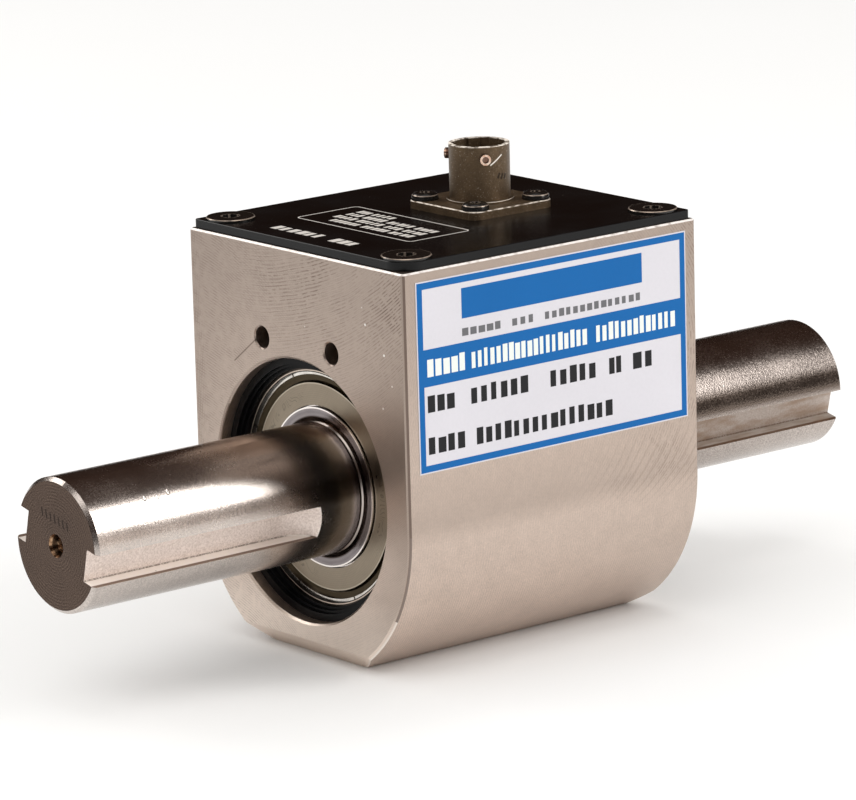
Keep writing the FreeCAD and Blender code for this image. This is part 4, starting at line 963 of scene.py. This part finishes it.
class SENSOR_OT_print_label(bpy.types.Operator):
    """Prints the label's blue border and band, and plain bars where it carries words"""
    bl_idname = "sensor.print_label"
    bl_label = "Print label"

    def execute(self, context):
        look = context.scene.sensor_finish
        sizes = context.scene.sensor_print
        tree = blocks_tree()
        blue = printed_sheet("label_blue", look.blue, 0.36, sheen=0.15)
        dark = printed_sheet("label_dark", (0.012, 0.012, 0.014), 0.36, sheen=0.2)
        grey = printed_sheet("label_grey", (0.13, 0.13, 0.14), 0.36)
        white = printed_sheet("label_white", (0.8, 0.84, 0.8), 0.34)
        low = (LABEL_LOW.x + sizes.margin, LABEL_LOW.z + sizes.margin)
        high = (LABEL_HIGH.x - sizes.margin, LABEL_HIGH.z - sizes.margin)
        form = bmesh.new()
        framed_panel(form, low, high, sizes.border, sizes.ink)
        inner_left = low[0] + sizes.border
        inner_right = high[0] - sizes.border
        solid_panel(form, (inner_left, sizes.band_low), (inner_right, sizes.band_high), sizes.ink)
        solid_panel(form, (-22.3 * MM, 68.2 * MM), (22 * MM, 73.9 * MM), sizes.ink)
        ink_piece("label_blue_print", [], form, on_label(), blue)

        header = ((-22.3, 64.9, -12.4, 1.5, 5), (-10.2, 64.9, -4.2, 1.5, 3),
                  (-2.2, 64.9, 22.1, 1.5, 14))
        band = ((-30.8, 58.5, -21.2, 3.4, 5), (-20.2, 58.5, 8.4, 3.4, 19), (10.3, 58.5, 30.6, 3.4, 13))
        rows = ((-30.9, 51.8, -24.0, 3.3, 3), (-20.5, 51.8, -6.1, 3.3, 6), (-1.2, 51.8, 10.8, 3.3, 5),
                (13.4, 51.8, 16.9, 3.3, 2), (19.4, 51.8, 25.5, 3.3, 2),
                (-30.9, 43.9, -21.6, 3.3, 4), (-19.4, 43.9, 14.6, 3.3, 15))
        for name, ink, words, raised in (("label_grey_print", grey, header, 0.0),
                                         ("label_white_print", white, band, sizes.ink),
                                         ("label_dark_print", dark, rows, 0.0)):
            runs = [(a * MM, b * MM, c * MM, d * MM, letters) for a, b, c, d, letters in words]
            meshes = [letter_run(tree, run, sizes.ink, seed) for seed, run in enumerate(runs)]
            turned = on_label() @ Matrix.Translation((0.0, 0.0, raised))
            ink_piece(name, meshes, bmesh.new(), turned, ink)
        return {"FINISHED"}


class SENSOR_OT_set_stage(bpy.types.Operator):
    """Lays the floor and places the lights and the camera"""
    bl_idname = "sensor.set_stage"
    bl_label = "Set stage"

    def execute(self, context):
        stage = context.scene.sensor_stage
        lay_floor(stage.floor_reach)
        middle = (0.0, 0.0, AXIS_HEIGHT)
        near_shaft = (-0.06, 0.0, 0.04)
        softbox("key_light", near_shaft, (0.575, -0.61, 0.545), 0.9, (0.22, 0.5), stage.key_power,
                roll=-28.0)
        softbox("low_light", near_shaft, (0.455, -0.885, 0.09), 1.05, (0.22, 0.36), stage.low_power,
                tint=(1.0, 0.89, 0.81))
        softbox("top_light", middle, (0.0, -0.02, 1.0), 1.3, (0.9, 0.9), stage.top_power)
        softbox("back_light", middle, (-0.23, 0.75, 0.61), 1.3, (0.8, 0.35), stage.rim_power)
        softbox("left_light", middle, (-0.62, -0.12, 0.75), 1.3, (0.95, 0.45), stage.left_power)
        dim_room(context.scene)
        aim_camera(context.scene)
        return {"FINISHED"}


def lay_floor(reach):
    """The plain pale floor under the sensor."""
    form = bmesh.new()
    bmesh.ops.create_grid(form, x_segments=8, y_segments=8, size=reach)
    mesh = bpy.data.meshes.new("floor")
    form.to_mesh(mesh)
    form.free()
    mesh.transform(Matrix.Translation((0.0, 0.0, CAD_BOX[0][2])))
    floor = bpy.data.objects.new("floor", mesh)
    bpy.context.scene.collection.objects.link(floor)
    finish, shader = new_finish("pale_floor", roughness=0.9, sheen=0.2)
    tone = span(grain(place_of(shader)[0], 0.3, 2.0), 0.3, 0.7)
    feed(shader.inputs["Base Color"], blend_colours(tone, (0.86, 0.86, 0.86), (0.88, 0.88, 0.88)))
    mesh.materials.append(finish)


def softbox(name, aim, direction, away, size, power, roll=0.0, tint=(1.0, 0.985, 0.965)):
    """A rectangular lamp at a distance from the point that it is aimed at, rolled by some degrees."""
    lamp = bpy.data.lights.new(name, "AREA")
    lamp.shape = "RECTANGLE"
    lamp.size, lamp.size_y = size
    lamp.energy = power
    lamp.color = tint
    light = bpy.data.objects.new(name, lamp)
    outward = Vector(direction).normalized()
    light.location = Vector(aim) + outward * away
    upright = outward.to_track_quat("Z", "Y").to_matrix()
    light.rotation_euler = (upright @ Matrix.Rotation(math.radians(roll), 3, "Z")).to_euler()
    bpy.context.scene.collection.objects.link(light)


def dim_room(scene):
    """A room whose walls are dark to a mirror, yet fills shadows and stands pale behind the sensor."""
    world = bpy.data.worlds.new("room")
    world.use_nodes = True
    tree = world.node_tree
    tree.nodes.clear()
    height = parts_of(Field(put(tree, "ShaderNodeTexCoord").outputs["Generated"]))[2]
    path = put(tree, "ShaderNodeLightPath").outputs
    mirrored = blend_colours(span(height, 0.0, 0.7), (0.017, 0.0095, 0.007), (0.044, 0.022, 0.014))
    colour = painted(mirrored,
                     (Field(path["Is Diffuse Ray"]), (0.89, 0.885, 0.87)),
                     (Field(path["Is Camera Ray"]), (1.0, 1.0, 1.0)))
    shader = put(tree, "ShaderNodeBackground", {"Color": colour, "Strength": 1.0})
    put(tree, "ShaderNodeOutputWorld", {"Surface": shader.outputs[0]})
    scene.world = world


def aim_camera(scene):
    """The camera at the photograph's angle, from the solution fitted to the object's edges."""
    azimuth = math.radians(-39.207)
    elevation = math.radians(13.089)
    roll = math.radians(-1.541)
    away = 1.05052
    target = Vector((-4.506 * MM, 0.0, 44.613 * MM))
    back = Vector((math.sin(azimuth) * math.cos(elevation), -math.cos(azimuth) * math.cos(elevation),
                   math.sin(elevation)))
    right = Vector((math.cos(azimuth), math.sin(azimuth), 0.0))
    up = back.cross(right)
    turned_right = math.cos(roll) * right + math.sin(roll) * up
    turned_up = math.cos(roll) * up - math.sin(roll) * right
    spin = Matrix((turned_right, turned_up, back)).transposed().to_4x4()
    data = bpy.data.cameras.new("camera")
    data.sensor_fit = "HORIZONTAL"
    data.sensor_width = SENSOR_WIDTH
    data.lens = FOCAL_PIXELS * SENSOR_WIDTH / FRAME_WIDTH
    data.clip_start = 0.01
    camera = bpy.data.objects.new("camera", data)
    camera.matrix_world = Matrix.Translation(target + back * away) @ spin
    scene.collection.objects.link(camera)
    scene.camera = camera
    scene.view_settings.view_transform = "Standard"


class SENSOR_PT_panel(bpy.types.Panel):
    """Lists the steps that finish the sensor"""
    bl_idname = "SENSOR_PT_panel"
    bl_label = "Torque sensor"
    bl_space_type = "VIEW_3D"
    bl_region_type = "UI"
    bl_category = "Torque sensor"

    def draw(self, context):
        column = self.layout.column()
        for step in STEPS:
            column.operator(step.bl_idname)
        scene = context.scene
        for group in (scene.sensor_finish, scene.sensor_print, scene.sensor_stage):
            for name in group.__annotations__:
                column.prop(group, name)


STEPS = (SENSOR_OT_finish_casing, SENSOR_OT_finish_shaft, SENSOR_OT_finish_bearings,
         SENSOR_OT_finish_connector, SENSOR_OT_finish_inside, SENSOR_OT_print_cover,
         SENSOR_OT_print_label, SENSOR_OT_set_stage)
GROUPS = (FinishSettings, PrintSettings, StageSettings)


def register():
    for group in GROUPS + STEPS + (SENSOR_PT_panel,):
        bpy.utils.register_class(group)
    bpy.types.Scene.sensor_finish = bpy.props.PointerProperty(type=FinishSettings)
    bpy.types.Scene.sensor_print = bpy.props.PointerProperty(type=PrintSettings)
    bpy.types.Scene.sensor_stage = bpy.props.PointerProperty(type=StageSettings)


def unregister():
    del bpy.types.Scene.sensor_stage
    del bpy.types.Scene.sensor_print
    del bpy.types.Scene.sensor_finish
    for group in reversed(GROUPS + STEPS + (SENSOR_PT_panel,)):
        bpy.utils.unregister_class(group)


def main():
    register()
    bpy.ops.sensor.finish_casing()
    bpy.ops.sensor.finish_shaft()
    bpy.ops.sensor.finish_bearings()
    bpy.ops.sensor.finish_connector()
    bpy.ops.sensor.finish_inside()
    bpy.ops.sensor.print_cover()
    bpy.ops.sensor.print_label()
    bpy.ops.sensor.set_stage()


if __name__ == "__main__":
    main()
